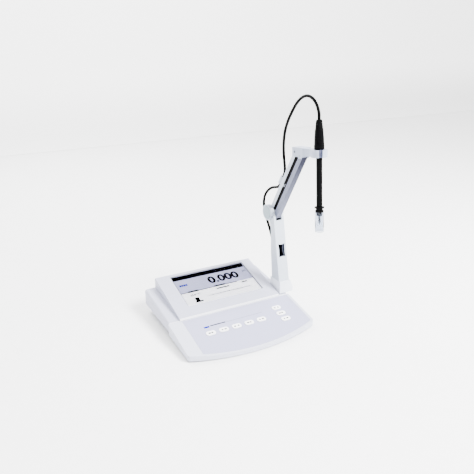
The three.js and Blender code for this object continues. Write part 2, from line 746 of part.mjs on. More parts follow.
// ---------------------------------------------------------------- cable clips
// A C-shaped ring round the cable, open towards +Y, on a foot at its -Y side.
const CLIP = { inner: 3.2, outer: 4.6, mouth: 1.9 };

function cableClip(half) {
  const ring = disc(CLIP.outer, -half, half, 14);
  const foot = block(-3, 3, -CLIP.outer - 1, -CLIP.inner - 0.4, -half, half);
  const bore = disc(CLIP.inner, -20, 20, 12);
  const mouth = block(-CLIP.mouth, CLIP.mouth, 0, 10, -20, 20);
  return cut(join(ring, foot), bore, mouth);
}

const BAR_CLIP = { z: 71, y: REAR_BAR_HALF + GAP + CLIP.outer + 1, half: 8 };
const barCableClip = place('bar_cable_clip', cableClip(BAR_CLIP.half), finish.arm, rearArm);
barCableClip.position.set(0, BAR_CLIP.y, BAR_CLIP.z);
const COLUMN_CLIP_Z = 104;
const COLUMN_CLIP_Y = 42.2;
place('column_cable_clip', cableClip(4), finish.arm).position.set(ARM_X, COLUMN_CLIP_Y, COLUMN_CLIP_Z);

// ---------------------------------------------------------------- electrode holder
// In the head's own frame: origin at the rear bar's upper pivot, -Y towards the electrode.
const head = frame(ARM_X, UPPER.y, UPPER.z, HEAD_TILT);
const stepDepth = PIVOT_STEP.y * Math.cos(-HEAD_TILT) + PIVOT_STEP.z * Math.sin(HEAD_TILT);
const stepHeight = -PIVOT_STEP.y * Math.sin(HEAD_TILT) + PIVOT_STEP.z * Math.cos(HEAD_TILT);
const FORK_FRONT = stepDepth - FRONT_BAR_HALF - 1.2;
const NECK = { back: FORK_FRONT - 3, front: -REACH + RING_RADIUS - 2.5, half: 5 };
const MOUTH = { turn: -25 * DEG, half: 3 }; // gap in the ring's front

function forkPlan() {
  const shape = new THREE.Shape();
  const ring = { y: -REACH, r: RING_RADIUS };
  shape.moveTo(-HEAD_HALF_WIDTH, HEAD_HALF_HEIGHT - 1);
  shape.lineTo(-HEAD_HALF_WIDTH, NECK.back);
  shape.quadraticCurveTo(-NECK.half, NECK.back - 4, -NECK.half - 0.5, (NECK.back + NECK.front) / 2 - 2);
  shape.lineTo(-NECK.half - 3, NECK.front);
  shape.absarc(0, ring.y, ring.r, 132 * DEG, 408 * DEG);
  shape.lineTo(NECK.half + 0.5, (NECK.back + NECK.front) / 2 - 2);
  shape.quadraticCurveTo(NECK.half, NECK.back - 4, HEAD_HALF_WIDTH, NECK.back);
  shape.lineTo(HEAD_HALF_WIDTH, HEAD_HALF_HEIGHT - 1);
  shape.closePath();
  return shape;
}

function electrodeHolder() {
  const plan = raised(forkPlan(), RING_HEIGHTS.low, RING_HEIGHTS.high, 14);
  const fork = block(
    -HEAD_HALF_WIDTH,
    HEAD_HALF_WIDTH,
    NECK.back,
    HEAD_HALF_HEIGHT - 1,
    -HEAD_HALF_HEIGHT,
    HEAD_HALF_HEIGHT,
  );
  const lug = across(
    outline([
      [stepDepth - 4.5, -HEAD_HALF_HEIGHT + 1],
      [stepDepth - 3, stepHeight - 4],
      [stepDepth + 3, stepHeight - 4],
      [stepDepth + 5, -HEAD_HALF_HEIGHT + 1],
    ]),
    -HEAD_HALF_WIDTH,
    HEAD_HALF_WIDTH,
  );
  const slot = across(
    outline([
      [FORK_FRONT, -30],
      [30, -30],
      [30, REAR_BAR_HALF + 0.5],
      [FORK_FRONT + 3, REAR_BAR_HALF + 0.5],
      [FORK_FRONT, 1],
    ]),
    -SLOT_HALF,
    SLOT_HALF,
  );
  const rearPin = crossRod(PIN_RADIUS + GAP, 0, 0, -20, 20);
  const frontPin = crossRod(PIN_RADIUS + GAP, stepDepth, stepHeight, -20, 20);
  const bore = disc(BUSHING.outer + GAP, -20, 20, 24).translate(0, -REACH, 0);
  const mouth = block(-MOUTH.half, MOUTH.half, -40, 0, -20, 20).rotateZ(MOUTH.turn);
  mouth.translate(0, -REACH, 0);
  return cut(join(plan, fork, lug), slot, rearPin, frontPin, bore, mouth);
}

const BUSHING = { outer: 7.5, inner: SHAFT_RADIUS + GAP, low: -5, high: 6.8 };
place('electrode_holder', electrodeHolder(), finish.arm, head);

// ---------------------------------------------------------------- electrode
// Heights are along the electrode's own axis, from the middle of the holder's ring.
const electrode = new THREE.Group();
electrode.position.set(0, -REACH, 0);
head.add(electrode);

const CAP = { low: 7.1, high: 38, top: 52.5, wide: 8.2, narrow: 6.5, tip: 4.9 };
const SHAFT_TUBE = { bore: 2.9, low: -98, high: CAP.low + 11.6 }; // its top end sits inside the cap
const COLLAR = { first: -84.8, second: -90.7, spigot: -99, wide: 7.9, narrow: 6.8, neck: 5.7 };
const GUARD = { high: -92, low: -125.2, outer: 7.3, inner: 6.2 };

const bushing = turned([
  [BUSHING.inner, BUSHING.low],
  [BUSHING.outer, BUSHING.low],
  [BUSHING.outer, BUSHING.high],
  [BUSHING.inner, BUSHING.high],
], 24);
place('holder_bushing', bushing, finish.arm_grey, electrode);

const cap = turned([
  [SHAFT_RADIUS + GAP, CAP.low],
  [CAP.wide - 0.5, CAP.low],
  [CAP.wide, CAP.low + 0.8],
  [CAP.wide, CAP.low + 7],
  [CAP.narrow, CAP.high],
  [0, CAP.high],
  [0, CAP.low + 12],
  [SHAFT_RADIUS + GAP, CAP.low + 12],
], 20);
place('electrode_cap', cap, finish.black, electrode);

const relief = turned([
  [0, CAP.high + GAP],
  [CAP.narrow - 0.1, CAP.high + GAP],
  [CAP.tip, CAP.top - 1],
  [CAP.tip - 0.9, CAP.top],
  [0, CAP.top],
], 16);
place('strain_relief', relief, finish.rubber, electrode);

const shaft = turned([
  [SHAFT_TUBE.bore, SHAFT_TUBE.low],
  [SHAFT_RADIUS, SHAFT_TUBE.low],
  [SHAFT_RADIUS, SHAFT_TUBE.high],
  [SHAFT_TUBE.bore, SHAFT_TUBE.high],
], 20);
place('electrode_shaft', shaft, finish.black, electrode);

const collar = turned([
  [SHAFT_RADIUS + GAP, COLLAR.spigot],
  [GUARD.inner - GAP, COLLAR.spigot],
  [GUARD.inner - GAP, COLLAR.second - 1],
  [COLLAR.narrow, COLLAR.second - 1],
  [COLLAR.narrow, COLLAR.second + 1.3],
  [COLLAR.neck, COLLAR.second + 1.3],
  [COLLAR.neck, COLLAR.first - 1.2],
  [COLLAR.wide, COLLAR.first - 1.2],
  [COLLAR.wide, COLLAR.first + 1],
  [SHAFT_RADIUS + GAP, COLLAR.first + 1],
], 20);
place('guard_collar', collar, finish.black, electrode);

const GLASS = { stem: 2.55, bore: 1.5, high: -60, bulb: 3.9, wall: 0.8, bulbZ: -113 };

function bulbProfile() {
  const outside = [[GLASS.stem, GLASS.high], [GLASS.stem, GLASS.bulbZ + 3.6]];
  const inside = [];
  const cavity = GLASS.bulb - GLASS.wall;
  const steps = 6;
  for (let i = 0; i <= steps; i += 1) {
    const angle = (40 + (130 * i) / steps) * DEG;
    const lower = angle + 10 * DEG;
    outside.push([GLASS.bulb * Math.sin(lower), GLASS.bulbZ + GLASS.bulb * Math.cos(lower)]);
    inside.push([cavity * Math.sin(angle), GLASS.bulbZ + cavity * Math.cos(angle)]);
  }
  outside[outside.length - 1] = [0, GLASS.bulbZ - GLASS.bulb];
  inside[inside.length - 1] = [0, GLASS.bulbZ - cavity];
  const upInside = [...inside.reverse(), [GLASS.bore, GLASS.bulbZ + 3.6], [GLASS.bore, GLASS.high]];
  return [...outside, ...upInside].reverse();
}
place('glass_bulb', turned(bulbProfile(), 16), finish.glass, electrode);
place('inner_wire', disc(0.7, GLASS.bulbZ - 1, GLASS.high + 6, 8), finish.silver, electrode);

const guard = turned([
  [GUARD.inner, GUARD.low],
  [GUARD.outer, GUARD.low],
  [GUARD.outer, GUARD.high],
  [GUARD.inner, GUARD.high],
], 24);
place('guard_tube', guard, finish.glass, electrode);

// ---------------------------------------------------------------- electrode lead
meter.updateMatrixWorld(true);
const worldPoint = (group, x, y, z) => group.localToWorld(new THREE.Vector3(x, y, z));

const leadStart = worldPoint(electrode, 0, 0, CAP.top + GAP);
const barClip = worldPoint(rearArm, 0, BAR_CLIP.y, BAR_CLIP.z);
const barClipAxis = worldPoint(rearArm, 0, BAR_CLIP.y, BAR_CLIP.z + 1).sub(barClip);
const columnClip = new THREE.Vector3(ARM_X, COLUMN_CLIP_Y, COLUMN_CLIP_Z);

const inPlane = (points) => points.map(([y, z]) => new THREE.Vector3(ARM_X, y, z));

// From the electrode up, over in a loop, and down to the clip on the rear bar.
const UPPER_ROUTE = [
  leadStart,
  ...inPlane([
    [-77.5, 368.5], [-72, 379.5], [-63.5, 387.2], [-52.8, 391.2], [-40.9, 390.8], [-29.2, 386],
    [-18.8, 378.2], [-9.8, 368.4], [-0.8, 356.6], [7.5, 343.5], [13.4, 329.3], [16.4, 313.2],
    [16.6, 297.6], [14.4, 282], [12, 270], [11.2, 262],
  ]),
  barClip.clone().addScaledVector(barClipAxis, 12),
  barClip.clone().addScaledVector(barClipAxis, 6),
  barClip.clone().addScaledVector(barClipAxis, 0.3),
];
// From the rear bar's clip back in a hanging loop, and down to the clip on the column.
const MIDDLE_ROUTE = [
  barClip.clone().addScaledVector(barClipAxis, -0.3),
  barClip.clone().addScaledVector(barClipAxis, -6),
  barClip.clone().addScaledVector(barClipAxis, -11),
  ...inPlane([
    [31, 229], [39.5, 226.2], [51, 222.8], [64.2, 215.3], [75, 204], [80, 191.2], [79, 180],
    [75.2, 169.5], [69.3, 158.8], [59.6, 143.5], [50.5, 129], [44.4, 116],
  ]),
  columnClip.clone().setZ(COLUMN_CLIP_Z + 0.3),
];
// From the column's clip down behind the socket, along the case's right side and round its back.
const LOWER_ROUTE = [
  columnClip.clone().setZ(COLUMN_CLIP_Z - 0.3),
  ...[
    [114, 42.2, 90], [114, 42.6, 77], [115.2, 44, 65], [118.5, 45.7, 54.5], [123.5, 47, 45],
    [128, 48, 35], [131, 50, 24.5], [132, 54, 14], [131.9, 61, 6.6], [131.4, 71, 3.3], [130.8, 84, 2.8],
    [129, 98, 2.8], [124.5, 110.5, 2.8], [116, 119.5, 2.8], [105, 124.5, 2.8], [93, 125.8, 2.8],
    [84, 125.5, 2.8], [76, 125.4, 2.8],
  ].map((point) => new THREE.Vector3(...point)),
];
// From the coil up to the plug.
const TAIL_ROUTE = [
  [60.6, 173.8, 13.5], [67, 178.6, 17.2], [73.5, 179.2, 21.6], [78, 175.8, 26.4], [79.8, 168.5, 29.8],
  [80, 162, 30.9], [80, 156.8, 31],
].map((point) => new THREE.Vector3(...point));

const section = new THREE.Shape();
section.absarc(0, 0, CABLE_RADIUS, 0, 360 * DEG);

function lead(route, steps) {
  const path = new THREE.CatmullRomCurve3(route, false, 'centripetal');
  return new THREE.ExtrudeGeometry(section, { extrudePath: path, steps, curveSegments: CABLE_SIDES });
}
place('upper_lead', closed(lead(UPPER_ROUTE, 28)), finish.cable);
place('middle_lead', closed(lead(MIDDLE_ROUTE, 20)), finish.cable);
place('lower_lead', closed(lead(LOWER_ROUTE, 22)), finish.cable);
place('tail_lead', closed(lead(TAIL_ROUTE, 8)), finish.cable);

const coil = turned([
  [COIL.radius - CABLE_RADIUS, COIL.low],
  [COIL.radius + CABLE_RADIUS, COIL.low],
  [COIL.radius + CABLE_RADIUS, COIL.high],
  [COIL.radius - CABLE_RADIUS, COIL.high],
], 28);
place('lead_coil', coil, finish.cable).position.set(COIL.x, COIL.y, 0);

const plug = socket(PLUG.x, [
  [0, 11 + GAP], [5.1, 11 + GAP], [5.1, 2.6], [7.2, 2.6], [7.2, 17], [5.2, 18], [5.2, 25],
  [4.3, 27], [3.3, 38], [0, 38],
]);
place('bnc_plug', plug, finish.steel);

// The origin is the middle of the meter's footprint, with the loose lead left out.
const FOOTPRINT_CENTRE = { x: 6, y: 12 };
meter.position.set(-FOOTPRINT_CENTRE.x, -FOOTPRINT_CENTRE.y, 0);

export default meter;
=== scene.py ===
"""Looks for the benchtop pH meter: materials, screen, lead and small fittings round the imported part.

Lengths in the tables are millimetres in the meter's own drawing, whose x = 0 is the case's middle
and y = 0 the seam between deck and hood. at() turns them into the row frame, in metres.
"""

import math

import bmesh
import bpy
from mathutils import Matrix, Vector


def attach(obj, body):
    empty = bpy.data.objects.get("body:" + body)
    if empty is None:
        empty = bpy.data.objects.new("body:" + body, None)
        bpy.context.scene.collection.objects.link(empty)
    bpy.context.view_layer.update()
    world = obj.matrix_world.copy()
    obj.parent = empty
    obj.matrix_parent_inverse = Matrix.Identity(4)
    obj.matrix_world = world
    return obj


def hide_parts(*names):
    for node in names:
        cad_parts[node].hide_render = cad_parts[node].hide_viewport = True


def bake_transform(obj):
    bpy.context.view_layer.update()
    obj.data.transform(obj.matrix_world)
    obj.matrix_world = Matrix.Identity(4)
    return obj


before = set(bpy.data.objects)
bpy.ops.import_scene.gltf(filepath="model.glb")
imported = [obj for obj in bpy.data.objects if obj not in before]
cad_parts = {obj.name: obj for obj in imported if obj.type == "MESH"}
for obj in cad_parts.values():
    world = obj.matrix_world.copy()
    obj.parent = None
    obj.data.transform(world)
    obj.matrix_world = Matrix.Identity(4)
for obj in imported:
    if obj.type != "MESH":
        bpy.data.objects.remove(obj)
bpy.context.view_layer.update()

MM = 0.001
ORIGIN = Vector((6, 12, 0))


def at(x, y, z):
    """A point of the drawing, in the row frame."""
    return (Vector((x, y, z)) - ORIGIN) * MM


HOOD_TILT = math.atan(0.26)
DECK_TILT = math.atan(0.2)
ARM_TILT = math.radians(31.5)
ARM_LENGTH = 145
HEAD_TILT = math.radians(-4.5)
REACH = 55.5  # from the head's pivot to the electrode
ARM_X = 114  # the arm's mid plane
PIVOT = (ARM_X, 47.5, 178.3)  # of the rear bar, on the column
FRONT_PIVOT = (ARM_X, PIVOT[1] - 14.5, PIVOT[2] - 5)
UPPER_PIVOT = (
    ARM_X,
    PIVOT[1] - ARM_LENGTH * math.sin(ARM_TILT),
    PIVOT[2] + ARM_LENGTH * math.cos(ARM_TILT),
)


def tilted(x, y, z, tilt=0.0):
    """The frame at a point of the drawing, turned about X, whose own unit is a millimetre."""
    turn = Matrix.Rotation(tilt, 4, "X")
    return Matrix.Translation(at(x, y, z)) @ turn @ Matrix.Scale(MM, 4)


DECK = tilted(0, 0, 28.7, DECK_TILT)
HOOD = tilted(0, 0, 33.3, HOOD_TILT)
HEAD = tilted(*UPPER_PIVOT, HEAD_TILT)
ELECTRODE = HEAD @ Matrix.Translation((0, -REACH, 0))
FRONT_ARM = tilted(*FRONT_PIVOT, ARM_TILT)
REAR_ARM = tilted(*PIVOT, ARM_TILT)

# ---------------------------------------------------------------- materials


def rgb(red, green, blue):
    """An sRGB colour, 0 to 255, as linear RGBA."""

    def linear(value):
        share = value / 255
        return share / 12.92 if share <= 0.04045 else ((share + 0.055) / 1.055) ** 2.4

    return (linear(red), linear(green), linear(blue), 1.0)


def shaded(color, factor):
    """The colour made lighter or darker by factor."""
    return tuple(min(1.0, channel * factor) for channel in color[:3]) + (1.0,)


NOISE_LOW, NOISE_HIGH = 0.3, 0.7  # between which nearly all of a noise texture lies


class Surface:
    """A Principled material with grain in its bump, and uneven tone and roughness."""

    def __init__(self, name):
        self.material = bpy.data.materials.new(name)
        self.material.use_nodes = True
        self.nodes = self.material.node_tree.nodes
        self.links = self.material.node_tree.links
        self.shader = self.nodes["Principled BSDF"]
        self.place = self.nodes.new("ShaderNodeTexCoord").outputs["Object"]

    def set(self, **values):
        """Sets the shader's own sockets, with _ for each space in their names."""
        for socket, value in values.items():
            self.shader.inputs[socket.replace("_", " ")].default_value = value
        return self

    def noise(self, scale, detail=3.0, rough=0.5):
        """The output of a noise texture in the object's own coordinates."""
        node = self.nodes.new("ShaderNodeTexNoise")
        node.inputs["Scale"].default_value = scale
        node.inputs["Detail"].default_value = detail
        node.inputs["Roughness"].default_value = rough
        self.links.new(self.place, node.inputs["Vector"])
        return node.outputs["Fac"]

    def tone(self, color, spread, scale):
        """Base colour that drifts by spread over patches of 1/scale metres."""
        ramp = self.nodes.new("ShaderNodeValToRGB")
        ramp.color_ramp.elements[0].position = NOISE_LOW
        ramp.color_ramp.elements[0].color = shaded(color, 1 - spread)
        ramp.color_ramp.elements[1].position = NOISE_HIGH
        ramp.color_ramp.elements[1].color = shaded(color, 1 + spread)
        self.links.new(self.noise(scale), ramp.inputs["Fac"])
        self.links.new(ramp.outputs["Color"], self.shader.inputs["Base Color"])
        return self

    def gloss(self, smooth, rough, scale):
        """Roughness between two values over patches of 1/scale metres."""
        span = self.nodes.new("ShaderNodeMapRange")
        span.inputs["From Min"].default_value = NOISE_LOW
        span.inputs["From Max"].default_value = NOISE_HIGH
        span.inputs["To Min"].default_value = smooth
        span.inputs["To Max"].default_value = rough
        self.links.new(self.noise(scale, 4.0), span.inputs["Value"])
        self.links.new(span.outputs["Result"], self.shader.inputs["Roughness"])
        return self

    def grain(self, scale, strength, depth=0.05 * MM):
        """Fine unevenness of the surface, depth metres deep."""
        bump = self.nodes.new("ShaderNodeBump")
        bump.inputs["Strength"].default_value = strength
        bump.inputs["Distance"].default_value = depth
        self.links.new(self.noise(scale, 2.0), bump.inputs["Height"])
        self.links.new(bump.outputs["Normal"], self.shader.inputs["Normal"])
        return self


def moulded(name, color, smooth=0.38, rough=0.5, grain=0.12, fine=2600, specular=0.4):
    """Injection-moulded plastic with a fine spark-eroded grain."""
    look = Surface(name).set(Specular_IOR_Level=specular).tone(color, 0.012, 60)
    return look.gloss(smooth, rough, 240).grain(fine, grain).material


def metal(name, color, smooth, rough):
    """Bare or plated metal with faint uneven gloss."""
    look = Surface(name).set(Metallic=1.0).tone(color, 0.05, 300)
    return look.gloss(smooth, rough, 900).grain(3500, 0.1, 0.02 * MM).material


def clear(name, color, ior, roughness):
    """Glass or clear plastic."""
    look = Surface(name).set(Transmission_Weight=1.0, IOR=ior, Base_Color=color)
    return look.gloss(roughness, roughness * 3, 150).grain(400, 0.02, 0.02 * MM).material


def painted_shade_by_height(name, low_color, high_color, heights):
    """Moulded plastic with painted shade: its colour runs from low_color to high_color between two heights
    in metres.
    """
    look = Surface(name).set(Specular_IOR_Level=0.05)
    apart = look.nodes.new("ShaderNodeSeparateXYZ")
    look.links.new(look.place, apart.inputs["Vector"])
    span = look.nodes.new("ShaderNodeMapRange")
    span.inputs["From Min"].default_value = heights[0]
    span.inputs["From Max"].default_value = heights[1]
    look.links.new(apart.outputs["Z"], span.inputs["Value"])
    ramp = look.nodes.new("ShaderNodeValToRGB")
    ramp.color_ramp.elements[0].color = low_color
    ramp.color_ramp.elements[1].color = high_color
    look.links.new(span.outputs["Result"], ramp.inputs["Fac"])
    look.links.new(ramp.outputs["Color"], look.shader.inputs["Base Color"])
    return look.gloss(0.45, 0.58, 240).grain(1800, 0.2).material


def lit(name, color, glow):
    """A patch of the screen, whose glow is painted light."""
    look = Surface(name).set(Emission_Color=color, Emission_Strength=glow)
    return look.tone(color, 0.01, 80).gloss(0.3, 0.4, 400).grain(4000, 0.05, 0.01 * MM).material


CASING = moulded("casing", rgb(172, 174, 192))
# painted light: the front cover is a lighter copy of the casing's colour, standing for the light on it
FRONT_CASING_PAINTED_LIGHT = moulded("front_casing_painted_light", rgb(192, 195, 210))
OVERLAY = moulded("overlay", rgb(160, 161, 190), smooth=0.34, rough=0.42, grain=0.06, fine=4000)
KEY_WHITE = moulded("key_white", rgb(250, 250, 253), smooth=0.36, rough=0.46, grain=0.06)
ARM_WHITE = moulded("arm_white", rgb(178, 186, 198))
# painted shade: a darker copy of the arm's white for the electrode holder
HEAD_PAINTED_SHADE = moulded("head_painted_shade", rgb(158, 166, 184))
ARM_GREY = moulded("arm_grey", rgb(98, 103, 124))
# painted shade: the bushing seen through the holder's mouth has the mid grey of the shade in the mouth
BUSHING_PAINTED_SHADE = moulded("bushing_painted_shade", rgb(80, 84, 108))
# painted light: a brighter copy of the arm's white, so the socket's shaded left face looks lit
SOCKET_PAINTED_LIGHT = moulded("socket_painted_light", rgb(222, 226, 236))
ARM_SLATE = moulded(
    "arm_slate", rgb(30, 32, 44), smooth=0.45, rough=0.58, grain=0.2, fine=1800, specular=0.1
)
# painted shade: the front bar's front face grows darker towards the head, which shades it
BAR_PAINTED_SHADE = painted_shade_by_height("bar_painted_shade", rgb(104, 107, 124), rgb(34, 35, 50), (0.19, 0.285))
CAP_GREY = moulded("cap_grey", rgb(136, 152, 160))
BEZEL_GREY = moulded("bezel_grey", rgb(124, 126, 148))
BLACK = moulded(
    "black_plastic", rgb(3, 3, 4), smooth=0.4, rough=0.55, grain=0.1, fine=3000, specular=0.03
)
RUBBER = moulded("rubber", rgb(4, 4, 5), smooth=0.62, rough=0.78, grain=0.3, fine=1800, specular=0.03)
SHEATH = moulded(
    "lead_sheath", rgb(3, 3, 4), smooth=0.4, rough=0.55, grain=0.15, fine=1500, specular=0.03
)
BOARD = moulded("circuit_board", rgb(28, 98, 58), smooth=0.35, rough=0.5, grain=0.2, fine=700)
GEL = moulded(
    "electrode_gel", rgb(92, 106, 116), smooth=0.3, rough=0.4, grain=0.05, fine=2600, specular=0.2
)
SMOKY = moulded(
    "smoky_plastic", rgb(60, 68, 80), smooth=0.35, rough=0.5, grain=0.1, fine=2600, specular=0.1
)
INK = moulded("ink", rgb(8, 9, 24), smooth=0.5, rough=0.6, grain=0.05, fine=2600, specular=0.03)
STEEL = metal("steel", rgb(196, 198, 202), 0.24, 0.36)
NICKEL = metal("nickel", rgb(206, 204, 198), 0.16, 0.28)
SILVER = metal("silver_wire", rgb(120, 118, 112), 0.3, 0.45)
PANE = clear("screen_pane", (1, 1, 1, 1), 1.02, 0.01)
GLASS = clear("glass", (0.97, 0.99, 1.0, 1), 1.45, 0.01)
CLEAR = clear("clear_plastic", (0.62, 0.66, 0.74, 1), 1.3, 0.05)
DARK_STEEL = metal("dark_steel", rgb(70, 72, 84), 0.4, 0.55)
SCREEN_GREY = lit("screen_lavender", rgb(150, 152, 188), 0.05)
SCREEN_WHITE = lit("screen_white", rgb(236, 236, 244), 0.9)
MATT = {"smooth": 0.5, "rough": 0.6, "grain": 0.02, "specular": 0.0}
SCREEN_BLACK = moulded("screen_black", rgb(1, 1, 2), **MATT)
SCREEN_BLUE = moulded("screen_blue", rgb(14, 26, 128), **MATT)
SCREEN_TEXT = moulded("screen_text", rgb(2, 2, 4), **MATT)

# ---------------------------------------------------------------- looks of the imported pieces

KEYS = [f"row_key_{i}" for i in range(1, 6)] + [f"side_key_{i}" for i in range(1, 4)]
# material, width of the rounded edges in millimetres, nodes
LOOKS = [
    (FRONT_CASING_PAINTED_LIGHT, 0.9, ["front_cover"]),
    (CASING, 0.9, ["rear_cover", "bottom_plate", "rear_panel"]),
    (OVERLAY, 0.12, ["keypad_overlay"]),
    (KEY_WHITE, 0.35, KEYS),
    (BEZEL_GREY, 0.3, ["display_bezel"]),
    (PANE, 0.1, ["display_window"]),
    (SCREEN_WHITE, 0.1, ["lcd_module"]),
    (BOARD, 0.1, ["key_board", "main_board"]),
    (SOCKET_PAINTED_LIGHT, 0.8, ["arm_socket"]),
    (ARM_WHITE, 0.8, ["column", "column_back_cover"]),
    (HEAD_PAINTED_SHADE, 0.8, ["electrode_holder"]),
    (ARM_WHITE, 0.5, ["rear_bar", "bar_cable_clip", "column_cable_clip"]),
    (ARM_GREY, 0.5, ["front_bar"]),
    (CAP_GREY, 0.4, ["knuckle_cap_left", "knuckle_cap_right"]),
    # bar_liner is black as painted shade in the gap between the bars; the jack and the inlet are black
    # plastic
    (BLACK, 0.3, ["bar_liner", "temperature_jack", "power_inlet"]),
    (BLACK, 0.3, ["electrode_cap", "electrode_shaft", "guard_collar"]),
    (RUBBER, 0.3, ["strain_relief"]),
    (BUSHING_PAINTED_SHADE, 0.3, ["holder_bushing"]),
    (RUBBER, 0.5, ["foot_front_left", "foot_front_right", "foot_back_left", "foot_back_right"]),
    (STEEL, 0.2, ["case_screw_1", "case_screw_2", "case_screw_3", "case_screw_4"]),
    (STEEL, 0.2, ["swivel_bolt", "lower_rear_pin", "lower_front_pin", "data_port"]),
    (DARK_STEEL, 0.2, ["upper_rear_pin"]),
    (CAP_GREY, 0.2, ["upper_front_pin"]),
    (NICKEL, 0.2, ["bnc_jack", "bnc_plug"]),
    (SILVER, 0.1, ["inner_wire"]),
    (GLASS, 0.0, ["glass_bulb"]),
    (CLEAR, 0.3, ["guard_tube"]),
    (SHEATH, 0.2, ["upper_lead", "middle_lead", "lower_lead", "tail_lead", "lead_coil"]),
]


def smooth(obj):
    """Shades the whole mesh smooth."""
    for face in obj.data.polygons:
        face.use_smooth = True


def soften(obj, width, sharp=30):
    """Rounds an object's edges sharper than sharp degrees, over width millimetres."""
    smooth(obj)
    merge = obj.modifiers.new("merge flat faces", "DECIMATE")
    merge.decimate_type = "DISSOLVE"
    merge.angle_limit = math.radians(0.5)
    if width:
        bevel = obj.modifiers.new("edges", "BEVEL")
        bevel.width = width * MM
        bevel.segments = 3
        bevel.limit_method = "ANGLE"
        bevel.angle_limit = math.radians(sharp)
        bevel.harden_normals = True


for look, edge, names in LOOKS:
    for name in names:
        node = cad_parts[name]
        node.data.materials.clear()
        node.data.materials.append(look)
        soften(node, edge)

# ---------------------------------------------------------------- mesh helpers


def piece(name, mesh, material):
    """A smooth object in the scene, which rides on no body yet."""
    obj = bpy.data.objects.new(name, mesh)
    bpy.context.scene.collection.objects.link(obj)
    if material:
        obj.data.materials.append(material)
    smooth(obj)
    return obj


def spline(points, step):
    """Points step metres apart along a smooth line through the given ones."""
    ends = [2 * points[0] - points[1], *points, 2 * points[-1] - points[-2]]
    line = []
    for a, b, c, d in zip(ends, ends[1:], ends[2:], ends[3:]):
        spans = [max(1e-6, (q - p).length) ** 0.5 for p, q in ((a, b), (b, c), (c, d))]
        out = (b - a) / spans[0] - (c - a) / (spans[0] + spans[1]) + (c - b) / spans[1]
        back = (c - b) / spans[1] - (d - b) / (spans[1] + spans[2]) + (d - c) / spans[2]
        out, back = out * spans[1], back * spans[1]
        count = max(1, math.ceil((c - b).length / step))
        for i in range(count):
            t = i / count
            line.append(
                (2 * t**3 - 3 * t**2 + 1) * b
                + (t**3 - 2 * t**2 + t) * out
                + (3 * t**2 - 2 * t**3) * c
                + (t**3 - t**2) * back
            )
    return [*line, points[-1].copy()]


def tube(name, line, radius, material, sides=14):
    """A round tube along line, closed at both ends."""
    mesh = bmesh.new()
    rings = []
    forward = (line[1] - line[0]).normalized()
    across = forward.orthogonal().normalized()
    for i, point in enumerate(line):
        ahead = (line[min(i + 1, len(line) - 1)] - line[max(i - 1, 0)]).normalized()
        across = (forward.rotation_difference(ahead) @ across).normalized()
        forward = ahead
        side = forward.cross(across)
        ring = []
        for k in range(sides):
            turn = 2 * math.pi * k / sides
            outward = across * math.cos(turn) + side * math.sin(turn)
            ring.append(mesh.verts.new(point + radius * outward))
        rings.append(ring)
    for a, b in zip(rings, rings[1:]):
        for k in range(sides):
            mesh.faces.new((a[k], a[(k + 1) % sides], b[(k + 1) % sides], b[k]))
    mesh.faces.new(list(reversed(rings[0])))
    mesh.faces.new(rings[-1])
    data = bpy.data.meshes.new(name)
    mesh.to_mesh(data)
    mesh.free()
    return piece(name, data, material)


ALONG_Z = Matrix.Identity(4)
ALONG_Y = Matrix.Rotation(math.radians(-90), 4, "X")


def lathe(name, profile, material, place, body, sides=48, axis=ALONG_Z):
    """Turns a closed outline of (radius, height) points about an axis of the frame place."""
    mesh = bmesh.new()
    rings = []
    for radius, height in profile:
        if radius < 1e-6:
            rings.append([mesh.verts.new((0, 0, height))] * sides)
            continue
        ring = []
        for k in range(sides):
            angle = 2 * math.pi * k / sides
            ring.append(mesh.verts.new((radius * math.cos(angle), radius * math.sin(angle), height)))
        rings.append(ring)
    for a, b in zip(rings, rings[1:] + rings[:1]):
        for k in range(sides):
            n = (k + 1) % sides
            corners = list(dict.fromkeys((a[k], a[n], b[n], b[k])))
            if len(corners) > 2:
                mesh.faces.new(corners)
    bmesh.ops.recalc_face_normals(mesh, faces=mesh.faces)
    mesh.transform(place @ axis)
    data = bpy.data.meshes.new(name)
    mesh.to_mesh(data)
    mesh.free()
    obj = piece(name, data, material)
    crease(obj)
    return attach(obj, body)


def crease(obj, angle=32):
    """Keeps smooth shading off edges sharper than angle degrees."""
    split = obj.modifiers.new("sharp edges", "EDGE_SPLIT")
    split.split_angle = math.radians(angle)


def rounded(width, height, radius, steps=4):
    """Corner points of a rounded rectangle about (0, 0)."""
    points = []
    for cx, cy, start in ((1, -1, -90), (1, 1, 0), (-1, 1, 90), (-1, -1, 180)):
        for i in range(steps + 1):
            angle = math.radians(start + 90 * i / steps)
            x = cx * (width / 2 - radius) + radius * math.cos(angle)
            y = cy * (height / 2 - radius) + radius * math.sin(angle)
            points.append((x, y))
    return points


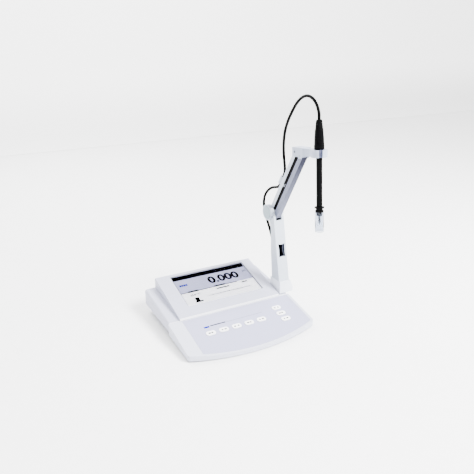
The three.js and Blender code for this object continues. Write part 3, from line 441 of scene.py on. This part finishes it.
class Print:
    """Flat artwork on a plane: patches and lettering, each in its own colour.

    Places are millimetres of the frame place, and a higher layer lies over a lower one.
    """

    LAYER = 0.03  # between one layer and the next
    CAPITAL = 0.7  # a capital's height, as a share of the font's size

    def __init__(self, name, place, height, body):
        self.mesh = bmesh.new()
        self.name = name
        self.place = place
        self.height = height
        self.body = body
        self.inks = []

    def ink(self, material):
        """The index of a colour of this artwork, which is added if it is new."""
        if material not in self.inks:
            self.inks.append(material)
        return self.inks.index(material)

    def patch(self, points, material, layer=0):
        """A flat face with these corners, facing up."""
        height = self.height + self.LAYER * layer
        face = self.mesh.faces.new([self.mesh.verts.new((x, y, height)) for x, y in points])
        face.material_index = self.ink(material)
        face.normal_update()
        if face.normal.z < 0:
            face.normal_flip()

    def box(self, x0, x1, y0, y1, material, layer=0, radius=0.3):
        """A rectangle with round corners."""
        middle = ((x0 + x1) / 2, (y0 + y1) / 2)
        shape = rounded(x1 - x0, y1 - y0, radius)
        self.patch([(x + middle[0], y + middle[1]) for x, y in shape], material, layer)

    def text(self, words, x, y, size, material, layer=1, weight=0.0, stretch=1.0):
        """Lettering that starts at x, y and whose capitals are about size tall."""
        curve = bpy.data.curves.new(self.name + "_words", "FONT")
        curve.body = words
        curve.size = size / self.CAPITAL
        curve.offset = weight
        obj = bpy.data.objects.new(curve.name, curve)
        flat = bpy.data.meshes.new_from_object(obj)
        shift = Matrix.Translation((x, y, self.height + self.LAYER * layer))
        flat.transform(shift @ Matrix.Diagonal((stretch, 1, 1, 1)))
        for face in flat.polygons:
            face.material_index = self.ink(material)
        flat.update()
        self.mesh.from_mesh(flat)
        bpy.data.objects.remove(obj)

    def finish(self):
        """Puts the artwork in the scene, on its body."""
        self.mesh.transform(self.place)
        data = bpy.data.meshes.new(self.name)
        self.mesh.to_mesh(data)
        self.mesh.free()
        obj = piece(self.name, data, None)
        for material in self.inks:
            obj.data.materials.append(material)
        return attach(obj, self.body)


# ---------------------------------------------------------------- screen

SCREEN = {"left": -71.1, "right": 78.3, "bottom": 26.2, "top": 111.0, "height": -2.05}
MODULE_TOP = -4.1
HEADER_BOTTOM = 99.6
DIVIDER = 61.4  # between the grey and the white field
SCREEN_BARS = [  # left, right, height of the middle, thickness: stand-ins for lines of small text
    (-71, 44, DIVIDER, 2.0),
    (-57, -36, DIVIDER + 0.6, 4.2),
    (-4, 19, DIVIDER + 0.8, 4.0),
    (51, 63, DIVIDER - 4.6, 3.4),
    (-3, 24, DIVIDER - 6.6, 3.2),
]
BEAKER = [
    (-54, 30.8), (-39.4, 30.8), (-39.4, 34.6), (-44.4, 34.6), (-44.4, 44), (-52.4, 44),
    (-52.4, 34.6), (-54, 34.6),
]


def screen_picture():
    """The reading, the dark header, bars for the small text and a beaker mark."""
    art = Print("screen_picture", HOOD, SCREEN["height"], "case")
    left, right = SCREEN["left"], SCREEN["right"]
    art.box(left, right, DIVIDER, HEADER_BOTTOM, SCREEN_GREY, 0, 0.1)
    art.box(left, right, SCREEN["bottom"], DIVIDER, SCREEN_WHITE, 0, 0.1)
    art.box(left, right, HEADER_BOTTOM, SCREEN["top"], SCREEN_BLACK, 0, 0.1)
    art.text("0.000", -7.5, 73.2, 18.2, SCREEN_TEXT, 1, weight=1.0, stretch=1.1)
    art.text("pH", 68.2, 85.6, 4.4, SCREEN_TEXT, 1, weight=0.1)
    for i in range(4):
        art.box(-65.4 + 4.1 * i, -61.9 + 4.1 * i, 80.6, 85.8, SCREEN_BLUE, 1, 0.6)
    for x0, x1, y, thick in SCREEN_BARS:
        art.box(x0, x1, y - thick / 2, y + thick / 2, SCREEN_TEXT, 1, 0.2)
    art.text("25.0 \u00b0C", -57, 50, 4.6, SCREEN_TEXT, 1, weight=0.3)
    art.box(-24, 62, 40.9, 42.3, ARM_SLATE, 1, 0.1)
    art.patch(BEAKER, SCREEN_BLACK, 1)
    art.finish()


def screen_stack():
    """The screen's dark body, from the display module up to just under its picture."""
    stack = Print("screen_stack", HOOD, 0, "case")
    outer = rounded(SCREEN["right"] - SCREEN["left"], SCREEN["top"] - SCREEN["bottom"], 0.5)
    middle = ((SCREEN["left"] + SCREEN["right"]) / 2, (SCREEN["top"] + SCREEN["bottom"]) / 2)
    levels = []
    for z in (MODULE_TOP, SCREEN["height"] - 0.05):
        levels.append([stack.mesh.verts.new((x + middle[0], y + middle[1], z)) for x, y in outer])
    stack.ink(SCREEN_BLACK)
    for k in range(len(outer)):
        n = (k + 1) % len(outer)
        stack.mesh.faces.new((levels[0][k], levels[0][n], levels[1][n], levels[1][k]))
    stack.mesh.faces.new(levels[1])
    stack.mesh.faces.new(list(reversed(levels[0])))
    stack.finish()


screen_picture()
screen_stack()

# ---------------------------------------------------------------- keys and deck artwork

KEY_PROUD = 1.0  # how far a key stands over the deck
KEY_ROW = [(f"row_key_{i + 1}", -63.2 + 24.3 * i, -46.6) for i in range(5)]
KEY_COLUMN = [(f"side_key_{i + 1}", 75.6, -28.9 - 15.8 * i) for i in range(3)]


def along_deck(y):
    """A distance in the drawing's Y, measured up the sloped deck."""
    return y / math.cos(DECK_TILT)


def key_marks(number, key, x, y):
    """Two short bars on a key, a little different from key to key."""
    top = DECK @ Matrix.Translation((x, along_deck(y), KEY_PROUD))
    marks = Print(key + "_marks", top, Print.LAYER, key + "_cap")
    spread = 2.4 + 0.5 * (number % 3)
    for side in (-1, 1):
        width = 1.35 + 0.35 * ((number + side) % 3)
        marks.box(side * spread - width, side * spread + width, -1.4, 1.4, INK, 0, 0.4)
    marks.finish()


def deck_artwork():
    """A thin line over the keys that starts with a coloured and a dark bar."""
    artwork = Print("deck_artwork", DECK, 0.05, "case")
    artwork.box(-57.5, 45, along_deck(-30.4), along_deck(-29.4), BEZEL_GREY, 0, 0.2)
    artwork.box(-68.5, -58.5, along_deck(-32.4), along_deck(-28.6), SCREEN_BLUE, 0, 0.6)
    artwork.box(-56.5, -28, along_deck(-30.6), along_deck(-28.4), INK, 1, 0.4)
    artwork.finish()


for key_number, key_facts in enumerate(KEY_ROW + KEY_COLUMN):
    key_marks(key_number, *key_facts)
deck_artwork()

# ---------------------------------------------------------------- electrode

CAP = {"low": 7.1, "high": 38, "top": 52.5}
SHAFT = {"low": -93.2, "high": 18.7, "radius": 4.9, "bore": 2.9}
STEM = {"high": -60, "radius": 2.55, "bore": 1.6}
GUARD = {"high": -92, "low": -125.2, "outer": 7.3, "inner": 6.2}
BULB = {"height": -113, "radius": 3.9, "wall": 0.6}


def electrode():
    """Ribbed cap, strain relief, shaft and the collar that holds the guard."""
    grip = [(5.2, CAP["low"]), (7.7, CAP["low"]), (8.2, CAP["low"] + 0.6), (8.2, 13.8)]
    for i in range(4):
        ring = 14.4 + 1.9 * i
        girth = 8.15 - 0.14 * i
        groove = girth - 0.45
        grip += [(girth, ring), (groove, ring + 0.35), (groove, ring + 0.9), (girth, ring + 1.25)]
    grip += [(6.55, CAP["high"] - 0.4), (6.2, CAP["high"]), (0, CAP["high"]), (0, 19.1), (5.2, 19.1)]
    cap = lathe("electrode_cap_turned", grip, BLACK, ELECTRODE, "electrode")
    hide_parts("electrode_cap")
    sleeve = [(0, CAP["high"] + 0.1), (6.35, CAP["high"] + 0.1)]
    for i in range(5):
        low = CAP["high"] + 1.6 + 2.6 * i
        girth = 6.25 - 0.28 * i
        groove = girth - 0.5
        sleeve += [(girth, low), (groove, low + 0.5), (groove, low + 1.1), (girth - 0.1, low + 1.6)]
    sleeve += [(4.8, CAP["top"] - 0.9), (4.1, CAP["top"]), (0, CAP["top"])]
    relief = lathe("strain_relief_ribbed", sleeve, RUBBER, ELECTRODE, "electrode")
    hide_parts("strain_relief")
    low, high, radius, bore = (SHAFT[key] for key in ("low", "high", "radius", "bore"))
    walls = [(bore, low), (radius - 0.3, low), (radius, low + 0.3), (radius, high), (bore, high)]
    shaft = lathe("electrode_shaft_turned", walls, BLACK, ELECTRODE, "electrode")
    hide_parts("electrode_shaft")
    flange = [
        (5.2, -93.6), (5.9, -93.6), (5.9, -91.7), (6.5, -91.7), (6.8, -91.4), (6.8, -89.7), (6.5, -89.4),
        (5.7, -89.4), (5.5, -88.6), (5.5, -87.2), (5.7, -86), (7.6, -86), (7.9, -85.7),
        (7.9, -84.1), (7.6, -83.8), (5.2, -83.8),
    ]
    collar = lathe("guard_collar_turned", flange, BLACK, ELECTRODE, "electrode")
    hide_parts("guard_collar")


def sensor():
    """The glass stem with its bulb, the gel in it and the dark element above."""
    height, radius, wall = (BULB[key] for key in ("height", "radius", "wall"))
    neck = height + radius
    outside = [(STEM["radius"], STEM["high"]), (STEM["radius"], neck)]
    inside = []
    for i in range(13):
        angle = math.radians(42 + 138 * i / 12)
        outside.append((radius * math.sin(angle), height + radius * math.cos(angle)))
        inside.append(((radius - wall) * math.sin(angle), height + (radius - wall) * math.cos(angle)))
    outside[-1] = (0, height - radius)
    inside[-1] = (0, height - radius + wall)
    profile = outside + inside[::-1] + [(STEM["bore"], neck), (STEM["bore"], STEM["high"])]
    bulb = lathe("sensor_glass", profile, GLASS, ELECTRODE, "electrode")
    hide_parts("glass_bulb")
    plug_end = [(2.7, -98.4), (3.4, -98.8), (4.4, -98.6), (4.85, -97.8), (4.85, -93.3), (2.7, -93.3)]
    lathe("shaft_end_plug", plug_end, SMOKY, ELECTRODE, "electrode")
    gel = [(0, -101.8), (1.45, -101.8), (1.45, -80), (0, -80)]
    lathe("gel_above", gel, GEL, ELECTRODE, "electrode", 24)
    pellet = [(0, -107.3), (0.8, -107.3), (1.4, -106.6), (1.5, -104), (1.2, -102.2), (0, -101.9)]
    lathe("reference_pellet", pellet, BLACK, ELECTRODE, "electrode", 24)
    gel = [(0, -111.6), (1.0, -111.3), (1.4, -110.4), (1.4, -107.4), (0, -107.4)]
    lathe("gel_below", gel, GEL, ELECTRODE, "electrode", 24)
    edge = 0.35
    low, high, outer, inner = (GUARD[key] for key in ("low", "high", "outer", "inner"))
    walls = [
        (inner, low + edge), (inner + edge, low), (outer - edge, low), (outer, low + edge),
        (outer, -119.5), (outer + 0.25, -119.1), (outer + 0.25, -118.3), (outer, -117.9),
        (outer, high - edge), (outer - edge, high), (inner + edge, high), (inner, high - edge),
    ]
    guard = lathe("guard_tube_turned", walls, CLEAR, ELECTRODE, "guard", 64)
    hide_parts("guard_tube")


electrode()
sensor()

# ---------------------------------------------------------------- column window

COLUMN = {"foot": 54.3, "height": 120.9, "front": 5.6, "lean": 22.9}
HOLLOW = {"half": 8.0, "wall": 2.9, "ends": ((62.4, 29.6), (145.6, 34.8))}  # ends: height and back


def column_front(z):
    """Where the column's leaning front face is at height z."""
    return COLUMN["front"] + COLUMN["lean"] * (z - COLUMN["foot"]) / COLUMN["height"]


def column_painted_shade():
    """Painted shade inside the hollow column: dark sheets, whose right wall is a little lighter."""
    art = Print("column_painted_shade", tilted(ARM_X, 0, 0), 0, "column")
    dark, grey = art.ink(SCREEN_BLACK), art.ink(ARM_SLATE)
    half = HOLLOW["half"]
    rings = []
    for z, back in HOLLOW["ends"]:
        front = column_front(z) + HOLLOW["wall"]
        corners = ((-half, front), (-half, back), (half, back), (half, front))
        rings.append([art.mesh.verts.new((x, y, z)) for x, y in corners])
    low, high = rings
    for k, ink in ((0, dark), (1, dark), (2, grey)):
        wall = art.mesh.faces.new((low[k], low[k + 1], high[k + 1], high[k]))
        wall.material_index = ink
    for ring in rings:
        art.mesh.faces.new(ring).material_index = dark
    obj = art.finish()
    shell = obj.modifiers.new("thickness", "SOLIDIFY")
    shell.thickness = 0.2 * MM


def bent(start, middle, end, steps=6):
    """Points of a quadratic curve, without its last one."""
    points = []
    for i in range(steps):
        t = i / steps
        weights = ((1 - t) ** 2, 2 * t * (1 - t), t * t)
        x = weights[0] * start[0] + weights[1] * middle[0] + weights[2] * end[0]
        y = weights[0] * start[1] + weights[1] * middle[1] + weights[2] * end[1]
        points.append((x, y))
    return points


WINDOW = {"x": 0.8, "z": 111.2, "half": 6.9, "high": 12.2, "waist": 1.6, "bow": 2}


def window_edge_painted_shade():
    """Painted shade on the edges of the column's window: a thin dark sleeve."""
    half, high, waist, bow = (WINDOW[key] for key in ("half", "high", "waist", "bow"))
    outline = bent((-half, -high), (0, -high + bow), (half, -high))
    outline += bent((half, -high), (half - waist, 0), (half, high))
    outline += bent((half, high), (0, high - bow), (-half, high))
    outline += bent((-half, high), (-half + waist, 0), (-half, -high))
    mesh = bmesh.new()
    rings = []
    # inset from the window's edge, and depth behind the column's front
    for inset, depth in ((0.06, 0.25), (0.5, 0.25), (0.5, 3.2), (0.06, 3.2)):
        ring = []
        for x, z in outline:
            height = WINDOW["z"] + z * (1 - inset / high)
            across = ARM_X + WINDOW["x"] + x * (1 - inset / half)
            ring.append(mesh.verts.new(at(across, column_front(height) + depth, height)))
        rings.append(ring)
    for a, b in zip(rings, rings[1:] + rings[:1]):
        for k in range(len(outline)):
            n = (k + 1) % len(outline)
            mesh.faces.new((a[k], a[n], b[n], b[k]))
    bmesh.ops.recalc_face_normals(mesh, faces=mesh.faces)
    data = bpy.data.meshes.new("window_edge_painted_shade")
    mesh.to_mesh(data)
    mesh.free()
    obj = piece("window_edge_painted_shade", data, ARM_SLATE)
    crease(obj)
    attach(obj, "column")


def rounded_box(name, corner, size, material, place, body, edge=0.3):
    """A box with rounded edges, from its lowest corner, in millimetres of the frame place."""
    mesh = bmesh.new()
    bmesh.ops.create_cube(mesh, size=1)
    middle = [corner[i] + size[i] / 2 for i in range(3)]
    mesh.transform(place @ Matrix.Translation(middle) @ Matrix.Diagonal((*size, 1)))
    data = bpy.data.meshes.new(name)
    mesh.to_mesh(data)
    mesh.free()
    obj = piece(name, data, material)
    soften(obj, edge)
    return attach(obj, body)


def arm_fittings():
    """Stop under the front bar, a strip of painted shade on the front bar's front face, the bridge of the
    black strip of painted shade between the bars, and the window's lever.
    """
    column = tilted(ARM_X, 0, 0)
    stop = ((-5.2, 27.4, 166.9), (10.4, 6.5, 1.7))
    face = ((-5.0, -4.45, -1), (10.0, 0.4, ARM_LENGTH + 2))
    bridge = ((-5.4, -5, 67.6), (1.9, 0.35, 7.8))
    rounded_box("fork_stop", *stop, BLACK, column, "column")
    # a strip of painted shade on the front bar's front face, darker towards the head
    rounded_box("front_bar_painted_shade", *face, BAR_PAINTED_SHADE, FRONT_ARM, "front_arm", 0.15)
    # painted shade: a black bridge on the black strip in the gap between the bars
    rounded_box("gap_shade_bridge", *bridge, BLACK, REAR_ARM, "rear_arm", 0.1)
    lever = []
    for x, z in ((7.0, 100.5), (6.4, 105), (6.0, 111), (6.4, 117), (7.0, 121.5)):
        lever.append(at(ARM_X + x, column_front(z) + 5, z))
    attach(tube("window_lever", spline(lever, 1.2 * MM), 0.8 * MM, ARM_GREY), "column")


column_painted_shade()
window_edge_painted_shade()
arm_fittings()

# ---------------------------------------------------------------- painted highlight along the seam

DRAWING = tilted(0, 0, 0)
# white strips that paint the highlight on the hood's front edge and on the shoulders along the seam
SEAM_HIGHLIGHTS = [
    ("hood_painted_highlight", (-99, -0.35, 29.1), (198, 0.6, 3.9)),
    ("shoulder_painted_highlight_left", (-118.5, -0.35, 28.85), (18.5, 0.9, 0.5)),
    ("shoulder_painted_highlight_right", (100, -0.35, 28.85), (18.5, 0.9, 0.5)),
]
for highlight_name, highlight_corner, highlight_size in SEAM_HIGHLIGHTS:
    rounded_box(highlight_name, highlight_corner, highlight_size, KEY_WHITE, DRAWING, "case", 0.1)

# ---------------------------------------------------------------- rear fittings, feet and screws

SOCKET_Z = 31
PANEL_Y = 118
FEET = [
    ("foot_front_left", -92, -66, 3.7, 6.5), ("foot_front_right", 92, -66, 3.7, 6.5),
    ("foot_back_left", -88, 98, 14, 8), ("foot_back_right", 88, 98, 14, 8),
]
SCREWS = [(-108, 14), (108, 14), (-108, 104), (108, 104)]


def foot(name, x, y, height, radius):
    """A round rubber foot with a hollow in its sole."""
    profile = [
        (0, 0.9), (radius - 4.2, 0.9), (radius - 3.9, 0.3), (radius - 3.4, 0), (radius - 1.4, 0),
        (radius - 0.6, 0.25), (radius - 0.1, 0.9), (radius, 1.8), (radius, height), (0, height),
    ]
    obj = lathe(name + "_turned", profile, RUBBER, tilted(x, y, 0), "case")
    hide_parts(name)


def screw(number, x, y):
    """A cross-head screw in the bottom plate, whose cross recess is a flat black patch of painted shade.
    """
    top = 14
    profile = [
        (0, top - 1.3), (1.9, top - 1.3), (2.7, top - 1.0), (3.2, top - 0.3), (3.2, top),
        (1.5, top), (1.5, top + 10), (0, top + 10),
    ]
    obj = lathe(f"case_screw_{number}_turned", profile, STEEL, tilted(x, y, 0), "case", 32)
    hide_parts(f"case_screw_{number}")
    recess_shade = Print(f"case_screw_{number}_recess", tilted(x, y, top - 1.33), 0, "case")
    arm, half = 1.7, 0.33
    cross = [
        (half, half), (arm, half), (arm, -half), (half, -half), (half, -arm), (-half, -arm),
        (-half, -half), (-arm, -half), (-arm, half), (-half, half), (-half, arm), (half, arm),
    ]
    recess_shade.patch(cross, BLACK)
    recess_shade.finish()


def plug():
    """The coaxial plug: knurled bayonet sleeve, crimp ferrule and boot."""
    place = tilted(80, PANEL_Y, SOCKET_Z)
    sleeve = [(5.1, 2.6), (6.9, 2.6), (7.2, 3.0)]
    for i in range(6):
        ridge = 4.0 + 2.0 * i
        sleeve += [(7.2, ridge), (6.8, ridge + 0.4), (6.8, ridge + 0.9), (7.2, ridge + 1.3)]
    sleeve += [
        (7.2, 16.6), (6.6, 17.2), (5.2, 17.6), (5.2, 24.6), (4.6, 25), (0, 25), (0, 11.3), (5.1, 11.3),
    ]
    body = lathe("bnc_plug_turned", sleeve, NICKEL, place, "case", 64, ALONG_Y)
    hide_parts("bnc_plug")
    boot = [(0, 25.05), (4.4, 25.05), (4.4, 27)]
    for i in range(3):
        rib = 27.6 + 2.6 * i
        boot += [(4.3 - 0.3 * i, rib), (3.7 - 0.3 * i, rib + 0.6), (3.7 - 0.3 * i, rib + 1.3)]
    boot += [(3.5, 36.4), (3.2, 38), (0, 38)]
    sleeve_boot = lathe("bnc_plug_boot", boot, RUBBER, place, "case", 48, ALONG_Y)
    return [body, sleeve_boot]


for foot_facts in FEET:
    foot(*foot_facts)
for screw_number, (screw_x, screw_y) in enumerate(SCREWS, 1):
    screw(screw_number, screw_x, screw_y)
plug_pieces = plug()

# ---------------------------------------------------------------- electrode lead

LEAD_RADIUS = 2.5
LEAD_STEP = 2.5 * MM  # between the rings of its mesh
LYING_Z = 2.8  # its middle where it lies on the table
LOOP_SPLIT = (7.5, 343.5)  # where the loop's two stretches meet, behind the arm
BAR_CLIP = (19.5, 244.4)
COLUMN_CLIP = (42.2, 104.0)

ELECTRODE_TO_BAR = [
    (-79.4, 358.9), (-78.2, 368.5), (-72.4, 379.5), (-63.7, 387.2), (-52.8, 391.2), (-40.9, 390.8),
    (-29.2, 386), (-18.8, 378.2), (-9.8, 368.4), (-0.8, 356.6), LOOP_SPLIT, (13.4, 329.3), (16.4, 313.2),
    (16.6, 297.6), (14.4, 282), (12, 270), (11.2, 262), (13.2, 254.6), (16.4, 249.5), BAR_CLIP,
]
BAR_TO_COLUMN = [
    BAR_CLIP, (22.6, 239.3), (25.2, 235), (31, 229), (39.5, 226.2), (51, 222.8), (64.2, 215.3),
    (75, 204), (80, 191.2), (79, 180), (75.2, 169.5), (69.3, 158.8), (59.6, 143.5), (50.5, 129),
    (44.4, 116), COLUMN_CLIP,
]
COLUMN_TO_COIL = [
    (114, 42.2, 104), (114, 42.2, 90), (114, 42.6, 77), (115.2, 44, 65), (118.5, 45.7, 54.5),
    (123.5, 47, 45), (128, 48, 35), (131, 50, 24.5), (132, 54, 14), (131.9, 61, 6.6),
    (131.4, 71, 3.3), (130.8, 84, LYING_Z), (129, 98, LYING_Z), (124.5, 110.5, LYING_Z),
    (116, 119.5, LYING_Z), (105, 124.5, LYING_Z), (93, 126.4, LYING_Z), (84, 128.2, LYING_Z),
]
COIL_CENTRE = (75, 153.2)
COIL_RADIUS = 22
COIL_TURNS = 2.35
COIL_START = math.radians(-90)
COIL_WANDER = 1.6  # how far the turns wander in and out
COIL_SHRINK = 1.2  # how much the radius shrinks from the first turn to the last
COIL_TO_PLUG = [
    (66, 177.6, 17.8), (73.5, 179.2, 21.8), (78, 175.8, 26.4), (79.8, 168.5, 29.8), (80, 162, 30.9),
    (80, 156.2, 31),
]


def in_plane(points):
    """Points of the arm's mid plane, from their (y, z)."""
    return [at(ARM_X, y, z) for y, z in points]


def coil():
    """The lead's turns on the table, from its arrival outside to its rise towards the plug."""
    steps = 44
    rise = 2 * LEAD_RADIUS + 0.3
    points = []
    for i in range(1, steps + 1):
        share = i / steps
        turn = COIL_START - 2 * math.pi * COIL_TURNS * share
        radius = COIL_RADIUS + COIL_WANDER * math.cos(3.1 * turn) - COIL_SHRINK * share
        height = LYING_Z + rise * COIL_TURNS * share
        points.append(
            at(
                COIL_CENTRE[0] + radius * math.cos(turn),
                COIL_CENTRE[1] + radius * math.sin(turn),
                height,
            )
        )
    return points


def lead(name, line, bodies, start, end, **facts):
    """One stretch of the lead, a tube along line; bodies, start and end are not used."""
    obj = tube(name, line, LEAD_RADIUS * MM, SHEATH)
    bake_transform(obj)
    return obj


loop = spline(in_plane(ELECTRODE_TO_BAR), LEAD_STEP)
split_place = at(ARM_X, *LOOP_SPLIT)
split = min(range(len(loop)), key=lambda i: (loop[i] - split_place).length)
top = lead(
    "lead_from_electrode",
    loop[: split + 1],
    ("electrode", "head"),
    at(ARM_X, -76, 366),
    split_place,
    far_end="object",
    stiffness="medium",
    lay="loose",
)
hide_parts("upper_lead")
lead(
    "lead_over_arm",
    loop[split:],
    ("head", "rear_arm"),
    split_place,
    at(ARM_X, *BAR_CLIP),
    far_end="object",
    stiffness="medium",
    lay="loose",
)
middle = lead(
    "lead_behind_arm",
    spline(in_plane(BAR_TO_COLUMN), LEAD_STEP),
    ("rear_arm", "column"),
    at(ARM_X, *BAR_CLIP),
    at(ARM_X, *COLUMN_CLIP),
    far_end="object",
    stiffness="medium",
    lay="hanging",
)
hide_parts("middle_lead")
to_socket = [at(*point) for point in COLUMN_TO_COIL] + coil() + [at(*point) for point in COIL_TO_PLUG]
lower = lead(
    "lead_to_socket",
    spline(to_socket, LEAD_STEP),
    ("column", "case"),
    at(ARM_X, 42, 98),
    at(126, 47.5, 40),
    far_end="connector",
    stiffness="medium",
    lay="coiled",
    with_pieces=plug_pieces,
)
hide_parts("lower_lead", "tail_lead", "lead_coil")

# ---------------------------------------------------------------- stage, camera and light


def floor():
    """A plain pale table top."""
    data = bpy.data.meshes.new("floor")
    half = 6.0
    corners = [(-half, -half, 0), (half, -half, 0), (half, half, 0), (-half, half, 0)]
    data.from_pydata(corners, [], [(0, 1, 2, 3)])
    obj = piece("floor", data, moulded("floor", rgb(250, 250, 250), 0.7, 0.8, 0.02, 50))


def quarter_turn(steps):
    """Angles from 0 to a right angle."""
    return [math.pi / 2 * i / steps for i in range(steps + 1)]


GLOW = {"low": 0.25, "high": 1.6, "full_at": 0.35}  # the backdrop's light, rising up to a height in metres


def backdrop():
    """A lit white wall that rises out of the floor behind the meter."""
    far, rise, top, half = 2.6, 0.7, 3.2, 5.0
    profile = [(far - rise + rise * math.sin(a), rise - rise * math.cos(a)) for a in quarter_turn(10)]
    profile.append((far, top))
    corners, faces = [], []
    for y, z in profile:
        corners += [(-half, y, z + 0.001), (half, y, z + 0.001)]
    for i in range(len(profile) - 1):
        faces.append((2 * i, 2 * i + 1, 2 * i + 3, 2 * i + 2))
    data = bpy.data.meshes.new("backdrop")
    data.from_pydata(corners, [], faces)
    white = rgb(250, 250, 250)
    glow = Surface("backdrop").set(Emission_Color=white)
    glow.tone(white, 0.01, 2).gloss(0.7, 0.8, 2).grain(50, 0.02)
    apart = glow.nodes.new("ShaderNodeSeparateXYZ")
    glow.links.new(glow.place, apart.inputs["Vector"])
    span = glow.nodes.new("ShaderNodeMapRange")
    span.interpolation_type = "SMOOTHSTEP"
    span.inputs["From Max"].default_value = GLOW["full_at"]
    span.inputs["To Min"].default_value = GLOW["low"]
    span.inputs["To Max"].default_value = GLOW["high"]
    glow.links.new(apart.outputs["Z"], span.inputs["Value"])
    glow.links.new(span.outputs["Result"], glow.shader.inputs["Emission Strength"])
    piece("backdrop", data, glow.material)


CAMERA = {
    "place": (-380.9, -733.4, 464.4),
    "angles": (-26.9, 20.2, -1.0),  # turn, downward tilt and roll, in degrees
    "lens": 39.5,
    "shift": (0.0234, 0.0036),
}


def camera():
    """The camera, in front of the meter, to its left and above it."""
    turn, lift, roll = (math.radians(angle) for angle in CAMERA["angles"])
    ahead = Vector((-math.sin(turn) * math.cos(lift), math.cos(turn) * math.cos(lift), -math.sin(lift)))
    right = Vector((math.cos(turn), math.sin(turn), 0))
    upward = right.cross(ahead)
    tilted_right = math.cos(roll) * right + math.sin(roll) * upward
    tilted_up = -math.sin(roll) * right + math.cos(roll) * upward
    axes = Matrix((tilted_right, tilted_up, -ahead)).transposed().to_4x4()
    data = bpy.data.cameras.new("camera")
    data.sensor_width = 36
    data.lens = CAMERA["lens"]
    data.shift_x, data.shift_y = CAMERA["shift"]
    obj = bpy.data.objects.new("camera", data)
    obj.matrix_world = Matrix.Translation(at(*CAMERA["place"])) @ axes
    bpy.context.scene.collection.objects.link(obj)
    bpy.context.scene.camera = obj


LIGHTS = [  # name, place and aim in metres, width, power
    ("key", (0.9, -1.1, 1.6), (0, 0, 0.1), 0.9, 220),
    ("fill", (-1.3, -0.7, 1.0), (0, 0, 0.15), 1.4, 4),
    ("back", (-0.2, 1.4, 1.5), (0, 0, 0.2), 1.2, 60),
]
ALL_ROUND_LIGHT = 1.9


def area_light(name, place, aim, size, power):
    """A soft round light."""
    data = bpy.data.lights.new(name, "AREA")
    data.shape = "DISK"
    data.size = size
    data.energy = power
    obj = bpy.data.objects.new(name, data)
    obj.location = place
    obj.rotation_euler = (Vector(aim) - Vector(place)).to_track_quat("-Z", "Y").to_euler()
    bpy.context.scene.collection.objects.link(obj)


def surroundings():
    """An even white light from all round."""
    world = bpy.data.worlds.new("studio")
    bpy.context.scene.world = world
    world.use_nodes = True
    background = world.node_tree.nodes["Background"]
    background.inputs["Color"].default_value = (1, 1, 1, 1)
    background.inputs["Strength"].default_value = ALL_ROUND_LIGHT


floor()
backdrop()
camera()
for light_facts in LIGHTS:
    area_light(*light_facts)
surroundings()
